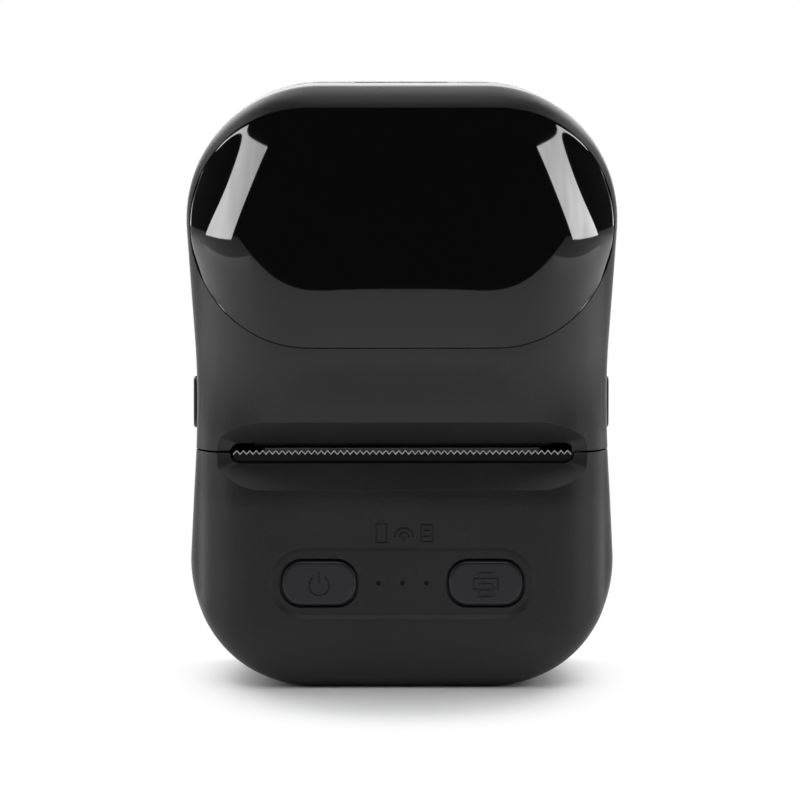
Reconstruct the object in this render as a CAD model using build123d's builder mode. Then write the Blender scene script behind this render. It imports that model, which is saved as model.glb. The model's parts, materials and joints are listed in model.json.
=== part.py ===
"""Portable thermal label printer that stands upright on its lower end.

Millimetres. +X is the printer's width, -Y its front and +Z up. The origin is the middle of the
base, under the middle of the bounding box. The upper front half is a lid with a dark roll window.
It swings up about a hinge in the top edge and carries the platen roller. The lower half holds the
print head, the gear train, the buttons, the battery and the boards.
"""

from build123d import *
import os
from math import acos, atan2, cos, degrees, hypot, pi, radians, sin, sqrt, tan

# Outer form
HEIGHT = 116.0
BASE_HALF_WIDTH = 42.2
WAIST_HALF_WIDTH = 39.3
WAIST_HEIGHT = 56.0
TOP_HALF_WIDTH = 43.6
BASE_CORNER = 24.0
TOP_CORNER = 26.0
WAIST_BLEND = 200.0
BACK_Y = 28.4
NECK_Y = -20.0
BULGE_REACH = 9.0
BULGE_LOW_Z = 49.0
BULGE_FULL_Z = 66.0
BULGE_MID_Z = 89.0
BULGE_CROWN = 130.0
PANEL_REACH = 1.4
PANEL_TOP_Z = 35.0
PANEL_END_Z = 45.0
TOE_HEIGHT = 12.0
TOE_TUCK = 1.2
PANEL_FLAT_HALF = 27.0
PANEL_SIDE_RADIUS = 14.0
BULGE_FLAT_HALF = 15.0
BULGE_SIDE_RADIUS = 26.0
FRONT_EDGE_RADIUS = 5.0
BACK_EDGE_RADIUS = 4.0
INNER_EDGE_RADIUS = 2.0
WALL = 2.4

# Splits between the three shells
SPLIT_Y = 6.0
SEAM = 0.1
LID_GAP = 0.15
PARTING_Z = 45.3
PARTING_GAP = 0.4

# Roll window
WINDOW_WIDTH = 82.0
WINDOW_HEIGHT = 45.8
WINDOW_Z = 89.0
WINDOW_THICK = 1.4
WINDOW_GAP = 0.15
WINDOW_LEDGE = 2.2
WINDOW_BACK_Y = -8.0

# Label slot and the recess round it
SLOT_WIDTH = 66.3
SLOT_HEIGHT = 3.9
SLOT_FLOOR_Y = -16.4
SLOT_BACK_Y = -15.2
RECESS_SIDE_RATE = 4.0
RECESS_RISE_RATE = 1.08
RECESS_LIFT = 0.28
SLOT_BLOCK_HALF = 37.6
SLOT_BLOCK_LOW = 37.0
SLOT_BLOCK_HIGH = 53.5

# Button panel
BUTTON_Z = 20.5
BUTTON_X = 16.0
BUTTON_LENGTH = 14.4
BUTTON_HEIGHT = 8.7
BUTTON_GAP = 0.4
BUTTON_EDGE = 0.7
BUTTON_TRAVEL = 0.5
BUTTON_FLANGE = 0.9
PANEL_RECESS_LENGTH = 51.5
PANEL_RECESS_HEIGHT = 14.2
PANEL_RECESS_DEPTH = 0.7
PANEL_RECESS_BEVEL = 1.0
LIGHT_PITCH = 4.6
LIGHT_RADIUS = 0.45
ENGRAVING = 0.3
ICON_LINE = 0.35
ICON_Z = 30.3

# Hinge
HINGE_DROP = 4.0
HINGE_SETBACK = 4.35
KNUCKLE_INNER = 9.0
KNUCKLE_OUTER = 15.0
KNUCKLE_RADIUS = 3.85
HINGE_PIN_RADIUS = 1.2
HINGE_PIN_HALF = 17.5
RUNNING = 0.05

# Platen roller, print head and tear blade
PLATEN_Y = -10.6
PLATEN_RADIUS = 3.8
PLATEN_LENGTH = 57.6
SHAFT_RADIUS = 1.5
PAPER_Z = 46.0
PAPER_GAP = 0.1
BUSH_RADIUS = 2.6
EAR_INNER = 31.0
EAR_THICK = 1.4
HEAD_HALF_WIDTH = 27.0
HEAD_FRONT_Y = -13.0
HEAD_BACK_Y = -1.5
CERAMIC_THICK = 0.8
CERAMIC_DEPTH = 8.0
HEATSINK_THICK = 2.2
HEAD_PIVOT_Y = 1.2
HEAD_PIVOT_Z = 43.6
HEAD_PIN_RADIUS = 1.0
HEAD_SPRING_X = 14.0
HEAD_SPRING_Y = -8.0
BLADE_HALF = 32.6
BLADE_THICK = 0.4
BLADE_TIP_Z = 45.7
BLADE_TOOTH_PITCH = 1.25
BLADE_TOOTH_DEPTH = 0.7

# Mechanism frame
FRAME_SIDE_X = 29.6
FRAME_SIDE_THICK = 1.0
FRAME_FLOOR_Z = 36.0
FRAME_FLOOR_THICK = 1.5
FRAME_FRONT_Y = -14.5
FRAME_BACK_Y = 8.0

# Gear train, all of one module
GEAR_MODULE = 0.5
PRESSURE_ANGLE = 25.0
PLATEN_TEETH = 18
IDLER_TEETH = 22
SMALL_TEETH = 12
LARGE_TEETH = 26
PINION_TEETH = 10
CENTRE_SLACK = 0.05
TOOTH_SLACK = 0.03
IDLER_ANGLE = -36.87
INNER_GEAR_X = 31.0
INNER_GEAR_THICK = 1.4
OUTER_GEAR_X = 32.9
OUTER_GEAR_THICK = 2.4
STUD_RADIUS = 1.0
MOTOR_Y = 2.0
MOTOR_Z = 28.0
MOTOR_RADIUS = 7.5
MOTOR_LENGTH = 12.0
MOTOR_SHAFT_RADIUS = 0.75

# Label roll bay
ROLL_Y = -4.0
ROLL_Z = 86.0
BAY_RADIUS = 22.0
TRAY_THICK = 1.5
TRAY_HALF_WIDTH = 30.8
BEZEL_FRONT_Y = 4.2
BEZEL_TOP_Z = 106.5
BEZEL_LOW_Z = 46.2
GUIDE_REST_X = 25.2
GUIDE_THICK = 2.0
GUIDE_TRAVEL = 15.0
GUIDE_RADIUS = 13.0
SPIGOT_RADIUS = 6.0
SPIGOT_LENGTH = 4.0
GUIDE_ARM_HALF = 4.0
GUIDE_PINION_TEETH = 16
RACK_Y = 20.0
RACK_THICK = 2.4
RACK_WIDTH = 2.2

# Latches
LATCH_Z_LOW = 47.6
LATCH_Z_HIGH = 58.4
LATCH_Y_FRONT = 9.5
LATCH_Y_BACK = 21.5
LATCH_PROUD = 1.4
LATCH_TRAVEL = 2.0
LATCH_GAP = 0.25
ARM_INNER_X = 32.2
ARM_THICK = 1.5
ARM_LOW_Z = 53.5
ARM_HIGH_Z = 58.5
NOSE_LOW_Z = 51.0
NOSE_FRONT_Y = 13.45
NOSE_DEPTH = 1.6
TOOTH_DEPTH = 1.2

# Electronics
BOARD_Y = -12.4
BOARD_THICK = 1.2
BOARD_HALF = 27.0
BOARD_LOW_Z = 10.8
BOARD_HIGH_Z = 33.8
SWITCH_SIZE = 6.0
SWITCH_DEPTH = 3.0
BATTERY_HALF = 30.0
BATTERY_LOW_Z = 14.6
BATTERY_HIGH_Z = 43.8
BATTERY_FRONT_Y = 13.6
BATTERY_THICK = 12.0
PORT_WIDTH = 8.94
PORT_HEIGHT = 3.26
PORT_LENGTH = 7.4
CHARGE_BOARD_Z = 5.2
CHARGE_BOARD_THICK = 1.0

# Fasteners, feet and the blank plate on the back
POST_RADIUS = 3.2
SCREW_RADIUS = 1.0
SCREW_CLEAR = 1.35
SCREW_HEAD_RADIUS = 2.1
SCREW_HEAD_THICK = 1.6
SCREW_WELL_Y = 14.0
BOARD_SCREW_RADIUS = 0.9
FRAME_SCREW_PLACES = ((-23.0, -11.2), (23.0, -11.2))
UPPER_POST = (35.0, 20.0)
LOWER_POST = (24.0, 6.6)
FOOT_RADIUS = 4.0
FOOT_PROUD = 0.6
FOOT_SUNK = 0.8
FOOT_PLACES = ((30.0, 32.0), (27.0, 99.0))
PLATE_WIDTH = 40.0
PLATE_HEIGHT = 22.0
PLATE_Z = 62.0
PLATE_SUNK = 0.3

# Sizes that follow from the ones above
HINGE_Y = SPLIT_Y + HINGE_SETBACK
HINGE_Z = HEIGHT - HINGE_DROP
PLATEN_Z = PAPER_Z + PLATEN_RADIUS
HEAD_TOP_Z = PAPER_Z - PAPER_GAP
HEATSINK_TOP_Z = HEAD_TOP_Z - CERAMIC_THICK
HEATSINK_LOW_Z = HEATSINK_TOP_Z - HEATSINK_THICK
FRAME_TOP_OF_FLOOR = FRAME_FLOOR_Z + FRAME_FLOOR_THICK
PANEL_Y = NECK_Y - PANEL_REACH
PANEL_FLOOR_Y = PANEL_Y + PANEL_RECESS_DEPTH
PANEL_INSIDE_Y = PANEL_Y + WALL
INSIDE_BACK_Y = BACK_Y - WALL
EAR_OUTER = EAR_INNER + EAR_THICK


def front_plane(y):
    """Upright plane at depth y, seen from the front: its own x is +X, its own y is +Z."""
    return Plane.XZ.offset(-y)


def side_plane(x):
    """Upright plane at x, seen from the right: its own x is +Y, its own y is +Z."""
    return Plane.YZ.offset(x)


def ease(low, high, value):
    """Goes smoothly from 0 at low to 1 at high."""
    share = min(1.0, max(0.0, (value - low) / (high - low)))
    return share * share * (3 - 2 * share)


def front_depth(x, z):
    """Y of the sculpted front: a bulge over the roll, a neck at the slot and a flat button panel."""
    bulge = ease(BULGE_LOW_Z, BULGE_FULL_Z, z)
    panel = 1 - ease(PANEL_TOP_Z, PANEL_END_Z, z)
    y = NECK_Y - BULGE_REACH * bulge - PANEL_REACH * panel
    y += bulge * (z - BULGE_MID_Z) ** 2 / (2 * BULGE_CROWN)
    y += TOE_TUCK * (1 - ease(0, TOE_HEIGHT, z))
    flat_half = PANEL_FLAT_HALF + (BULGE_FLAT_HALF - PANEL_FLAT_HALF) * bulge
    radius = PANEL_SIDE_RADIUS + (BULGE_SIDE_RADIUS - PANEL_SIDE_RADIUS) * bulge
    turned = min(max(0.0, abs(x) - flat_half), 0.93 * radius)
    return y + radius - sqrt(radius**2 - turned**2)


def front_face(inset):
    """The front as one smooth face through a grid of points, moved inwards by inset."""
    reach, columns, rows, step = TOP_HALF_WIDTH + 2.4, 47, 65, 0.05
    grid = []
    for row in range(rows):
        z = -6 + (HEIGHT + 12) * row / (rows - 1)
        line = []
        for column in range(columns):
            x = -reach + 2 * reach * column / (columns - 1)
            slope_x = (front_depth(x + step, z) - front_depth(x - step, z)) / (2 * step)
            slope_z = (front_depth(x, z + step) - front_depth(x, z - step)) / (2 * step)
            inwards = Vector(-slope_x, 1, -slope_z).normalized()
            line.append(Vector(x, front_depth(x, z), z) + inwards * inset)
        grid.append(line)
    return Face.make_surface_from_array_of_points(grid, tol=0.01)


def outline(inset):
    """Front view of the whole body: a rounded upright shape with a slight waist."""
    with BuildSketch() as drawn:
        with BuildLine():
            Polyline(
                (-BASE_HALF_WIDTH, 0),
                (BASE_HALF_WIDTH, 0),
                (WAIST_HALF_WIDTH, WAIST_HEIGHT),
                (TOP_HALF_WIDTH, HEIGHT),
                (-TOP_HALF_WIDTH, HEIGHT),
                (-WAIST_HALF_WIDTH, WAIST_HEIGHT),
                close=True,
            )
        make_face()
        fillet(drawn.vertices().group_by(Axis.Y)[0], BASE_CORNER)
        fillet(drawn.vertices().group_by(Axis.Y)[-1], TOP_CORNER)
        fillet(drawn.vertices().filter_by_position(Axis.Y, WAIST_HEIGHT - 1, WAIST_HEIGHT + 1), WAIST_BLEND)
        if inset:
            offset(amount=-inset, kind=Kind.ARC)
    return drawn.sketch


def body_form(inset, front_radius, back_radius):
    """The body as one solid, moved inwards by inset on every side."""
    sculpted = extrude(front_face(inset), amount=3 * BACK_Y, dir=(0, 1, 0))
    with BuildPart() as form:
        with BuildSketch(front_plane(BACK_Y - inset)):
            add(outline(inset))
        extrude(amount=2.6 * BACK_Y)
        add(sculpted, mode=Mode.INTERSECT)
        fillet(form.edges().filter_by(GeomType.BSPLINE), front_radius)
        fillet(form.faces().sort_by(Axis.Y)[-1].edges(), back_radius)
    return form.part


outer_form = body_form(0, FRONT_EDGE_RADIUS, BACK_EDGE_RADIUS)
seat_form = body_form(WINDOW_THICK, FRONT_EDGE_RADIUS - WINDOW_THICK, BACK_EDGE_RADIUS - WINDOW_THICK)
inner_form = body_form(WALL, INNER_EDGE_RADIUS, INNER_EDGE_RADIUS - 0.4)


def rounded(width, height, radius):
    """A rectangle with round corners, kept just short of a full half circle."""
    return RectangleRounded(width, height, min(radius, height / 2 - 0.02))


def involute(angle):
    return tan(angle) - angle


def gear_outline(teeth, phase):
    """Points of a spur gear's outline with one tooth centred at phase degrees."""
    pitch = GEAR_MODULE * teeth / 2
    base = pitch * cos(radians(PRESSURE_ANGLE))
    tip, root = pitch + GEAR_MODULE, pitch - 1.2 * GEAR_MODULE
    half_tooth = pi / (2 * teeth) - TOOTH_SLACK / pitch
    points = []
    for tooth in range(teeth):
        middle = radians(phase) + 2 * pi * tooth / teeth
        flank = []
        for step in range(6):
            radius = max(base, root) + (tip - max(base, root)) * step / 5
            roll = acos(min(1.0, base / radius))
            half = half_tooth + involute(radians(PRESSURE_ANGLE)) - involute(roll)
            flank.append((radius, half))
        if root < base:
            flank.insert(0, (root, flank[0][1]))
        for radius, half in flank:
            points.append((radius * cos(middle - half), radius * sin(middle - half)))
        for radius, half in reversed(flank):
            points.append((radius * cos(middle + half), radius * sin(middle + half)))
    return points


def mate_phase(phase, teeth, mate_teeth, direction):
    """Phase of a mating gear that lies in the given direction, so that teeth meet gaps."""
    share = (direction - phase) / (360 / teeth)
    return direction + 180 - (0.5 - share) * 360 / mate_teeth


def gear_distance(teeth, mate_teeth):
    return GEAR_MODULE * (teeth + mate_teeth) / 2 + CENTRE_SLACK


def polygon(points):
    """A filled polygon in the current sketch, with its points where they are given."""
    return Polygon(*points, align=None)


def coil(name, start, direction, length, radius, wire, turns):
    """A round wire spring that starts at a point and runs in a direction."""
    with BuildPart() as spring:
        with BuildLine():
            Helix((length - 2 * wire) / turns, length - 2 * wire, radius, center=start, direction=direction)
        path = spring.pending_edges[0]
        with BuildSketch(Plane(origin=path @ 0, z_dir=path % 0)):
            Circle(wire)
        sweep()
    spring.part.label = name
    return spring


# Cutters and blocks that several pieces share.

with BuildPart() as window_prism:
    with BuildSketch(front_plane(WINDOW_BACK_Y)):
        with Locations((0, WINDOW_Z)):
            rounded(WINDOW_WIDTH, WINDOW_HEIGHT, WINDOW_HEIGHT / 2)
    extrude(amount=30)

with BuildPart() as window_hole:
    with BuildSketch(front_plane(0)):
        with Locations((0, WINDOW_Z)):
            rounded(WINDOW_WIDTH - 2 * WINDOW_LEDGE - 4, WINDOW_HEIGHT - 2 * WINDOW_LEDGE, WINDOW_HEIGHT / 2)
    extrude(amount=40)

slot_z = PARTING_Z - 0.1
recess_reach = 6.0
with BuildPart() as recess_cutter:
    with BuildSketch(front_plane(SLOT_FLOOR_Y)):
        with Locations((0, slot_z)):
            rounded(SLOT_WIDTH, SLOT_HEIGHT, SLOT_HEIGHT / 2)
    with BuildSketch(front_plane(SLOT_FLOOR_Y - recess_reach)):
        with Locations((0, slot_z + RECESS_LIFT)):
            rounded(
                SLOT_WIDTH + 2 * RECESS_SIDE_RATE * recess_reach,
                SLOT_HEIGHT + 2 * RECESS_RISE_RATE * recess_reach,
                SLOT_HEIGHT / 2 + RECESS_RISE_RATE * recess_reach,
            )
    loft()
    with BuildSketch(front_plane(SLOT_BACK_Y + 1)):
        with Locations((0, slot_z)):
            rounded(SLOT_WIDTH, SLOT_HEIGHT, SLOT_HEIGHT / 2)
    extrude(amount=SLOT_BACK_Y + 1 - SLOT_FLOOR_Y)

with BuildPart() as slot_block:
    add(outer_form)
    with BuildSketch(front_plane(SLOT_BACK_Y)):
        with Locations((0, (SLOT_BLOCK_LOW + SLOT_BLOCK_HIGH) / 2)):
            Rectangle(2 * SLOT_BLOCK_HALF, SLOT_BLOCK_HIGH - SLOT_BLOCK_LOW)
    extrude(amount=20, mode=Mode.INTERSECT)

with BuildPart() as skin:
    add(outer_form)
    add(inner_form, mode=Mode.SUBTRACT)

# Room behind the split for the lid's centre knuckle and its web.
notch_half = KNUCKLE_INNER + 0.15
with BuildPart() as hinge_notch:
    with BuildSketch(side_plane(-notch_half)):
        polygon([(SPLIT_Y - 1, HINGE_Z - 4.1), (HINGE_Y + 4.1, HINGE_Z - 4.1), (HINGE_Y + 4.1, HEIGHT + 1), (SPLIT_Y - 1, HEIGHT + 1)])
    extrude(amount=2 * notch_half)

# The rear shell's front top edge is turned about the hinge line, so that the lid's edge passes it.
with BuildPart() as hinge_relief:
    with BuildSketch(side_plane(-50)):
        polygon([(SPLIT_Y - 1, HINGE_Z), (HINGE_Y, HINGE_Z), (HINGE_Y, HEIGHT + 1), (SPLIT_Y - 1, HEIGHT + 1)])
    extrude(amount=100)
    with BuildSketch(side_plane(-50)):
        with Locations((HINGE_Y, HINGE_Z)):
            Circle(KNUCKLE_RADIUS + 0.05)
    extrude(amount=100, mode=Mode.SUBTRACT)


# Rear shell with its screw posts, port opening, latch openings and hinge knuckles.

with BuildPart() as rear_housing:
    add(skin.part)
    with BuildSketch(front_plane(SPLIT_Y + SEAM / 2)):
        Rectangle(120, 300)
    extrude(amount=60, mode=Mode.SUBTRACT)
    add(hinge_relief.part, mode=Mode.SUBTRACT)
    # Posts for the screws that join the two halves
    with BuildSketch(front_plane(SPLIT_Y + SEAM / 2)):
        for side in (-1, 1):
            with Locations((side * UPPER_POST[0], UPPER_POST[1]), (side * LOWER_POST[0], LOWER_POST[1])):
                Circle(POST_RADIUS)
        with BuildSketch(front_plane(SPLIT_Y + SEAM / 2), mode=Mode.PRIVATE) as bounds:
            add(outline(1.0))
        add(bounds.sketch_local, mode=Mode.INTERSECT)
    extrude(amount=-(BACK_Y - 1 - SPLIT_Y))
    # Outer hinge knuckles, joined to the top wall behind the hinge line
    for side in (-1, 1):
        with BuildSketch(side_plane(side * KNUCKLE_INNER + (0.15 if side > 0 else -0.15))):
            with Locations((HINGE_Y, HINGE_Z)):
                Circle(KNUCKLE_RADIUS)
            polygon([(HINGE_Y, HINGE_Z - 2), (HINGE_Y + 6, HINGE_Z - 0.5), (HINGE_Y + 6, HEIGHT - 1.6), (HINGE_Y, HEIGHT - 0.6)])
        extrude(amount=side * (KNUCKLE_OUTER - KNUCKLE_INNER - 0.15))
    add(hinge_notch.part, mode=Mode.SUBTRACT)
    with BuildSketch(side_plane(-KNUCKLE_OUTER - 1)):
        with Locations((HINGE_Y, HINGE_Z)):
            Circle(HINGE_PIN_RADIUS)
    extrude(amount=2 * KNUCKLE_OUTER + 2, mode=Mode.SUBTRACT)
    # Openings for the latch caps
    with BuildSketch(side_plane(-50)):
        with Locations(((LATCH_Y_FRONT + LATCH_Y_BACK) / 2, (LATCH_Z_LOW + LATCH_Z_HIGH) / 2)):
            rounded(LATCH_Y_BACK - LATCH_Y_FRONT, LATCH_Z_HIGH - LATCH_Z_LOW, 1.8)
    extrude(amount=100, mode=Mode.SUBTRACT)
    # Ribs that the latch springs push against
    for side in (-1, 1):
        with BuildSketch(side_plane(side * 26.8)):
            polygon([(16.2, 50.0), (INSIDE_BACK_Y + 0.5, 48.3), (INSIDE_BACK_Y + 0.5, 58.4), (16.2, 56.6)])
        extrude(amount=side * 1.4)
    # Supports of the charge board, which stand on the floor of the shell
    with BuildSketch(front_plane(13)):
        for side in (-1, 1):
            with Locations((side * 9.5, (CHARGE_BOARD_Z + WALL - 0.6) / 2)):
                Rectangle(2.4, CHARGE_BOARD_Z - WALL + 0.6)
    extrude(amount=-(INSIDE_BACK_Y - 13 + 0.5))
    # Shelf under the battery
    with BuildSketch(front_plane(BATTERY_FRONT_Y)):
        for side in (-1, 1):
            with Locations((side * 18, BATTERY_LOW_Z - 0.9)):
                Rectangle(14, 1.6)
    extrude(amount=-(INSIDE_BACK_Y - BATTERY_FRONT_Y + 0.5))
    # Opening of the charging port
    with BuildSketch(front_plane(BACK_Y + 1)):
        with Locations((0, CHARGE_BOARD_Z + CHARGE_BOARD_THICK + PORT_HEIGHT / 2)):
            rounded(PORT_WIDTH + 0.4, PORT_HEIGHT + 0.4, 1.8)
    extrude(amount=5, mode=Mode.SUBTRACT)
    # Wells for the screw heads, and holes for the screws
    with BuildSketch(front_plane(SCREW_WELL_Y)):
        for side in (-1, 1):
            with Locations((side * UPPER_POST[0], UPPER_POST[1]), (side * LOWER_POST[0], LOWER_POST[1])):
                Circle(SCREW_HEAD_RADIUS + 0.15)
    extrude(amount=-30, mode=Mode.SUBTRACT)
    with BuildSketch(front_plane(SCREW_WELL_Y + 1)):
        for side in (-1, 1):
            with Locations((side * UPPER_POST[0], UPPER_POST[1]), (side * LOWER_POST[0], LOWER_POST[1])):
                Circle(SCREW_CLEAR)
    extrude(amount=20, mode=Mode.SUBTRACT)
    # Seats of the four rubber pads
    with BuildSketch(front_plane(BACK_Y)):
        for side in (-1, 1):
            with Locations(*[(side * x, z) for x, z in FOOT_PLACES]):
                Circle(FOOT_RADIUS)
    extrude(amount=FOOT_SUNK, mode=Mode.SUBTRACT)
rear_housing.part.label = "rear_housing"


# Lower front shell with the button panel, the lower half of the slot recess and its posts.

boss_places = [(side * 23.6, z) for side in (-1, 1) for z in (12.9, 31.6)]
with BuildPart() as front_housing:
    add(skin.part)
    add(slot_block.part)
    add(recess_cutter.part, mode=Mode.SUBTRACT)
    with BuildSketch(Plane.XY.offset(PARTING_Z)):
        Rectangle(120, 120)
    extrude(amount=100, mode=Mode.SUBTRACT)
    with BuildSketch(front_plane(SPLIT_Y - SEAM / 2)):
        Rectangle(120, 300)
    extrude(amount=-60, mode=Mode.SUBTRACT)
    with BuildSketch(front_plane(SPLIT_Y - SEAM / 2)):
        for side in (-1, 1):
            with Locations((side * UPPER_POST[0], UPPER_POST[1]), (side * LOWER_POST[0], LOWER_POST[1])):
                Circle(POST_RADIUS)
        with BuildSketch(front_plane(SPLIT_Y), mode=Mode.PRIVATE) as bounds:
            add(outline(1.0))
        add(bounds.sketch_local, mode=Mode.INTERSECT)
    extrude(amount=12)
    # Bosses that carry the main board
    with BuildSketch(front_plane(BOARD_Y)):
        with Locations(*boss_places):
            Circle(1.9)
    extrude(amount=BOARD_Y - PANEL_INSIDE_Y + 0.4)
    with BuildSketch(front_plane(BOARD_Y)):
        with Locations(*boss_places):
            Circle(BOARD_SCREW_RADIUS)
    extrude(amount=4, mode=Mode.SUBTRACT)
    # Shelf that carries the mechanism frame
    with BuildSketch(front_plane(-8.6)):
        for side in (-1, 1):
            with Locations((side * 23, FRAME_FLOOR_Z - 0.9)):
                Rectangle(9, 1.8)
    extrude(amount=11.5)
    with BuildSketch(Plane.XY.offset(FRAME_FLOOR_Z)):
        with Locations(*FRAME_SCREW_PLACES):
            Circle(SCREW_RADIUS)
    extrude(amount=-3, mode=Mode.SUBTRACT)
    # Pilot holes of the screws that join the two halves
    with BuildSketch(front_plane(SPLIT_Y)):
        for side in (-1, 1):
            with Locations((side * UPPER_POST[0], UPPER_POST[1]), (side * LOWER_POST[0], LOWER_POST[1])):
                Circle(SCREW_RADIUS)
    extrude(amount=9, mode=Mode.SUBTRACT)
    # Shallow stadium recess of the button panel, with a bevelled rim
    with BuildSketch(front_plane(PANEL_FLOOR_Y)):
        with Locations((0, BUTTON_Z)):
            rounded(PANEL_RECESS_LENGTH - 2 * PANEL_RECESS_BEVEL, PANEL_RECESS_HEIGHT - 2 * PANEL_RECESS_BEVEL, 9)
    extrude(amount=8, taper=-50, mode=Mode.SUBTRACT)
    # Button holes
    with BuildSketch(front_plane(0)):
        with Locations((-BUTTON_X, BUTTON_Z), (BUTTON_X, BUTTON_Z)):
            rounded(BUTTON_LENGTH + 2 * BUTTON_GAP, BUTTON_HEIGHT + 2 * BUTTON_GAP, 4.2)
    extrude(amount=40, mode=Mode.SUBTRACT)
    # Holes of the three status lights
    with BuildSketch(front_plane(0)):
        with Locations((-LIGHT_PITCH, BUTTON_Z), (0, BUTTON_Z), (LIGHT_PITCH, BUTTON_Z)):
            Circle(LIGHT_RADIUS)
    extrude(amount=40, mode=Mode.SUBTRACT)
    # Engraved signs above the lights: a battery, radio waves and a sheet
    with BuildSketch(front_plane(PANEL_Y + ENGRAVING)):
        with Locations((-LIGHT_PITCH + 0.6, ICON_Z)):
            Rectangle(2.3, 3.9)
            Rectangle(2.3 - 2 * ICON_LINE, 3.9 - 2 * ICON_LINE, mode=Mode.SUBTRACT)
        with Locations((-LIGHT_PITCH + 0.6, ICON_Z + 2.2)):
            Rectangle(1.1, 0.6)
        with Locations((0.3, ICON_Z - 0.8)):
            Circle(2.0)
            Circle(2.0 - ICON_LINE, mode=Mode.SUBTRACT)
            Circle(1.15)
            Circle(1.15 - ICON_LINE, mode=Mode.SUBTRACT)
            Rectangle(6, 4.2, align=(Align.CENTER, Align.MAX), mode=Mode.SUBTRACT)
        with Locations((0.3, ICON_Z - 0.9)):
            Circle(0.4)
        with Locations((LIGHT_PITCH + 0.1, ICON_Z)):
            Rectangle(2.5, 3.6)
            Rectangle(2.5 - 2 * ICON_LINE, 3.6 - 2 * ICON_LINE, mode=Mode.SUBTRACT)
        with Locations((LIGHT_PITCH + 0.1, ICON_Z - 0.6), (LIGHT_PITCH + 0.1, ICON_Z + 0.5)):
            Rectangle(1.2, 0.3)
    extrude(amount=8, mode=Mode.SUBTRACT)
front_housing.part.label = "front_housing"


# Lid shell with the window's seat, the upper half of the slot, the platen ears and two catch arms.

ear_front = SLOT_BACK_Y - 0.6
with BuildPart() as lid_shell:
    add(skin.part)
    add(slot_block.part)
    add(recess_cutter.part, mode=Mode.SUBTRACT)
    with BuildSketch(Plane.XY.offset(PARTING_Z + PARTING_GAP)):
        Rectangle(120, 120)
    extrude(amount=-100, mode=Mode.SUBTRACT)
    with BuildSketch(front_plane(SPLIT_Y - LID_GAP)):
        Rectangle(120, 300)
    extrude(amount=-60, mode=Mode.SUBTRACT)
    # Window seat, as deep as the window is thick, and the hole behind it
    with BuildPart(mode=Mode.PRIVATE) as seat:
        add(outer_form)
        add(seat_form, mode=Mode.SUBTRACT)
        add(window_prism.part, mode=Mode.INTERSECT)
    add(seat.part, mode=Mode.SUBTRACT)
    add(window_hole.part, mode=Mode.SUBTRACT)
    # Room for the platen gear's teeth in the back of the slot's wall
    with BuildSketch(side_plane(OUTER_GEAR_X - 0.3)):
        with Locations((PLATEN_Y, PLATEN_Z)):
            Circle(GEAR_MODULE * (PLATEN_TEETH / 2 + 1) + 0.3)
    extrude(amount=OUTER_GEAR_THICK + 0.8, mode=Mode.SUBTRACT)
    # Ears that hold the platen bushes
    for side in (-1, 1):
        with BuildSketch(side_plane(side * EAR_INNER)):
            polygon([(ear_front, 47.4), (PLATEN_Y + 4.2, 47.4), (PLATEN_Y + 4.2, 53), (PLATEN_Y, 57), (ear_front, 57)])
            with Locations((PLATEN_Y, PLATEN_Z)):
                Circle(BUSH_RADIUS, mode=Mode.SUBTRACT)
        extrude(amount=side * EAR_THICK)
    # Catch arms: a foot on the side wall, an arm back past the split and a nose that hangs down
    for side in (-1, 1):
        with BuildSketch(side_plane(side * ARM_INNER_X)):
            polygon(
                [
                    (-6, ARM_LOW_Z),
                    (NOSE_FRONT_Y, ARM_LOW_Z),
                    (NOSE_FRONT_Y, NOSE_LOW_Z),
                    (NOSE_FRONT_Y + NOSE_DEPTH, NOSE_LOW_Z),
                    (NOSE_FRONT_Y + NOSE_DEPTH, ARM_HIGH_Z - 2),
                    (NOSE_FRONT_Y - 4, ARM_HIGH_Z),
                    (-6, ARM_HIGH_Z),
                ]
            )
        extrude(amount=side * ARM_THICK)
        with BuildSketch(side_plane(side * ARM_INNER_X)):
            polygon([(-6, ARM_LOW_Z), (3.6, ARM_LOW_Z), (3.6, ARM_HIGH_Z), (-6, ARM_HIGH_Z)])
        extrude(amount=side * (WAIST_HALF_WIDTH - 1.4 - ARM_INNER_X))
    # Centre knuckle and its web
    with BuildSketch(side_plane(-KNUCKLE_INNER + 0.15)):
        with Locations((HINGE_Y, HINGE_Z)):
            Circle(KNUCKLE_RADIUS)
        polygon([(SPLIT_Y - 2.2, HINGE_Z + 1.0), (HINGE_Y, HINGE_Z - 1.0), (HINGE_Y, HINGE_Z + 3.8), (SPLIT_Y - 1.6, HEIGHT - 0.5)])
        with Locations((HINGE_Y, HINGE_Z)):
            Circle(HINGE_PIN_RADIUS + RUNNING, mode=Mode.SUBTRACT)
    extrude(amount=2 * KNUCKLE_INNER - 0.3)
lid_shell.part.label = "lid_shell"

with BuildPart() as lid_window:
    add(outer_form)
    add(seat_form, mode=Mode.SUBTRACT)
    with BuildSketch(front_plane(WINDOW_BACK_Y - WINDOW_GAP)):
        with Locations((0, WINDOW_Z)):
            rounded(WINDOW_WIDTH - 2 * WINDOW_GAP, WINDOW_HEIGHT - 2 * WINDOW_GAP, WINDOW_HEIGHT / 2)
    extrude(amount=30, mode=Mode.INTERSECT)
lid_window.part.label = "lid_window"

with BuildPart() as hinge_pin:
    with BuildSketch(side_plane(-KNUCKLE_OUTER)):
        with Locations((HINGE_Y, HINGE_Z)):
            Circle(HINGE_PIN_RADIUS)
    extrude(amount=2 * KNUCKLE_OUTER)
hinge_pin.part.label = "hinge_pin"


# Platen roller on its steel shaft, in two bushes held by the lid's ears.

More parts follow.
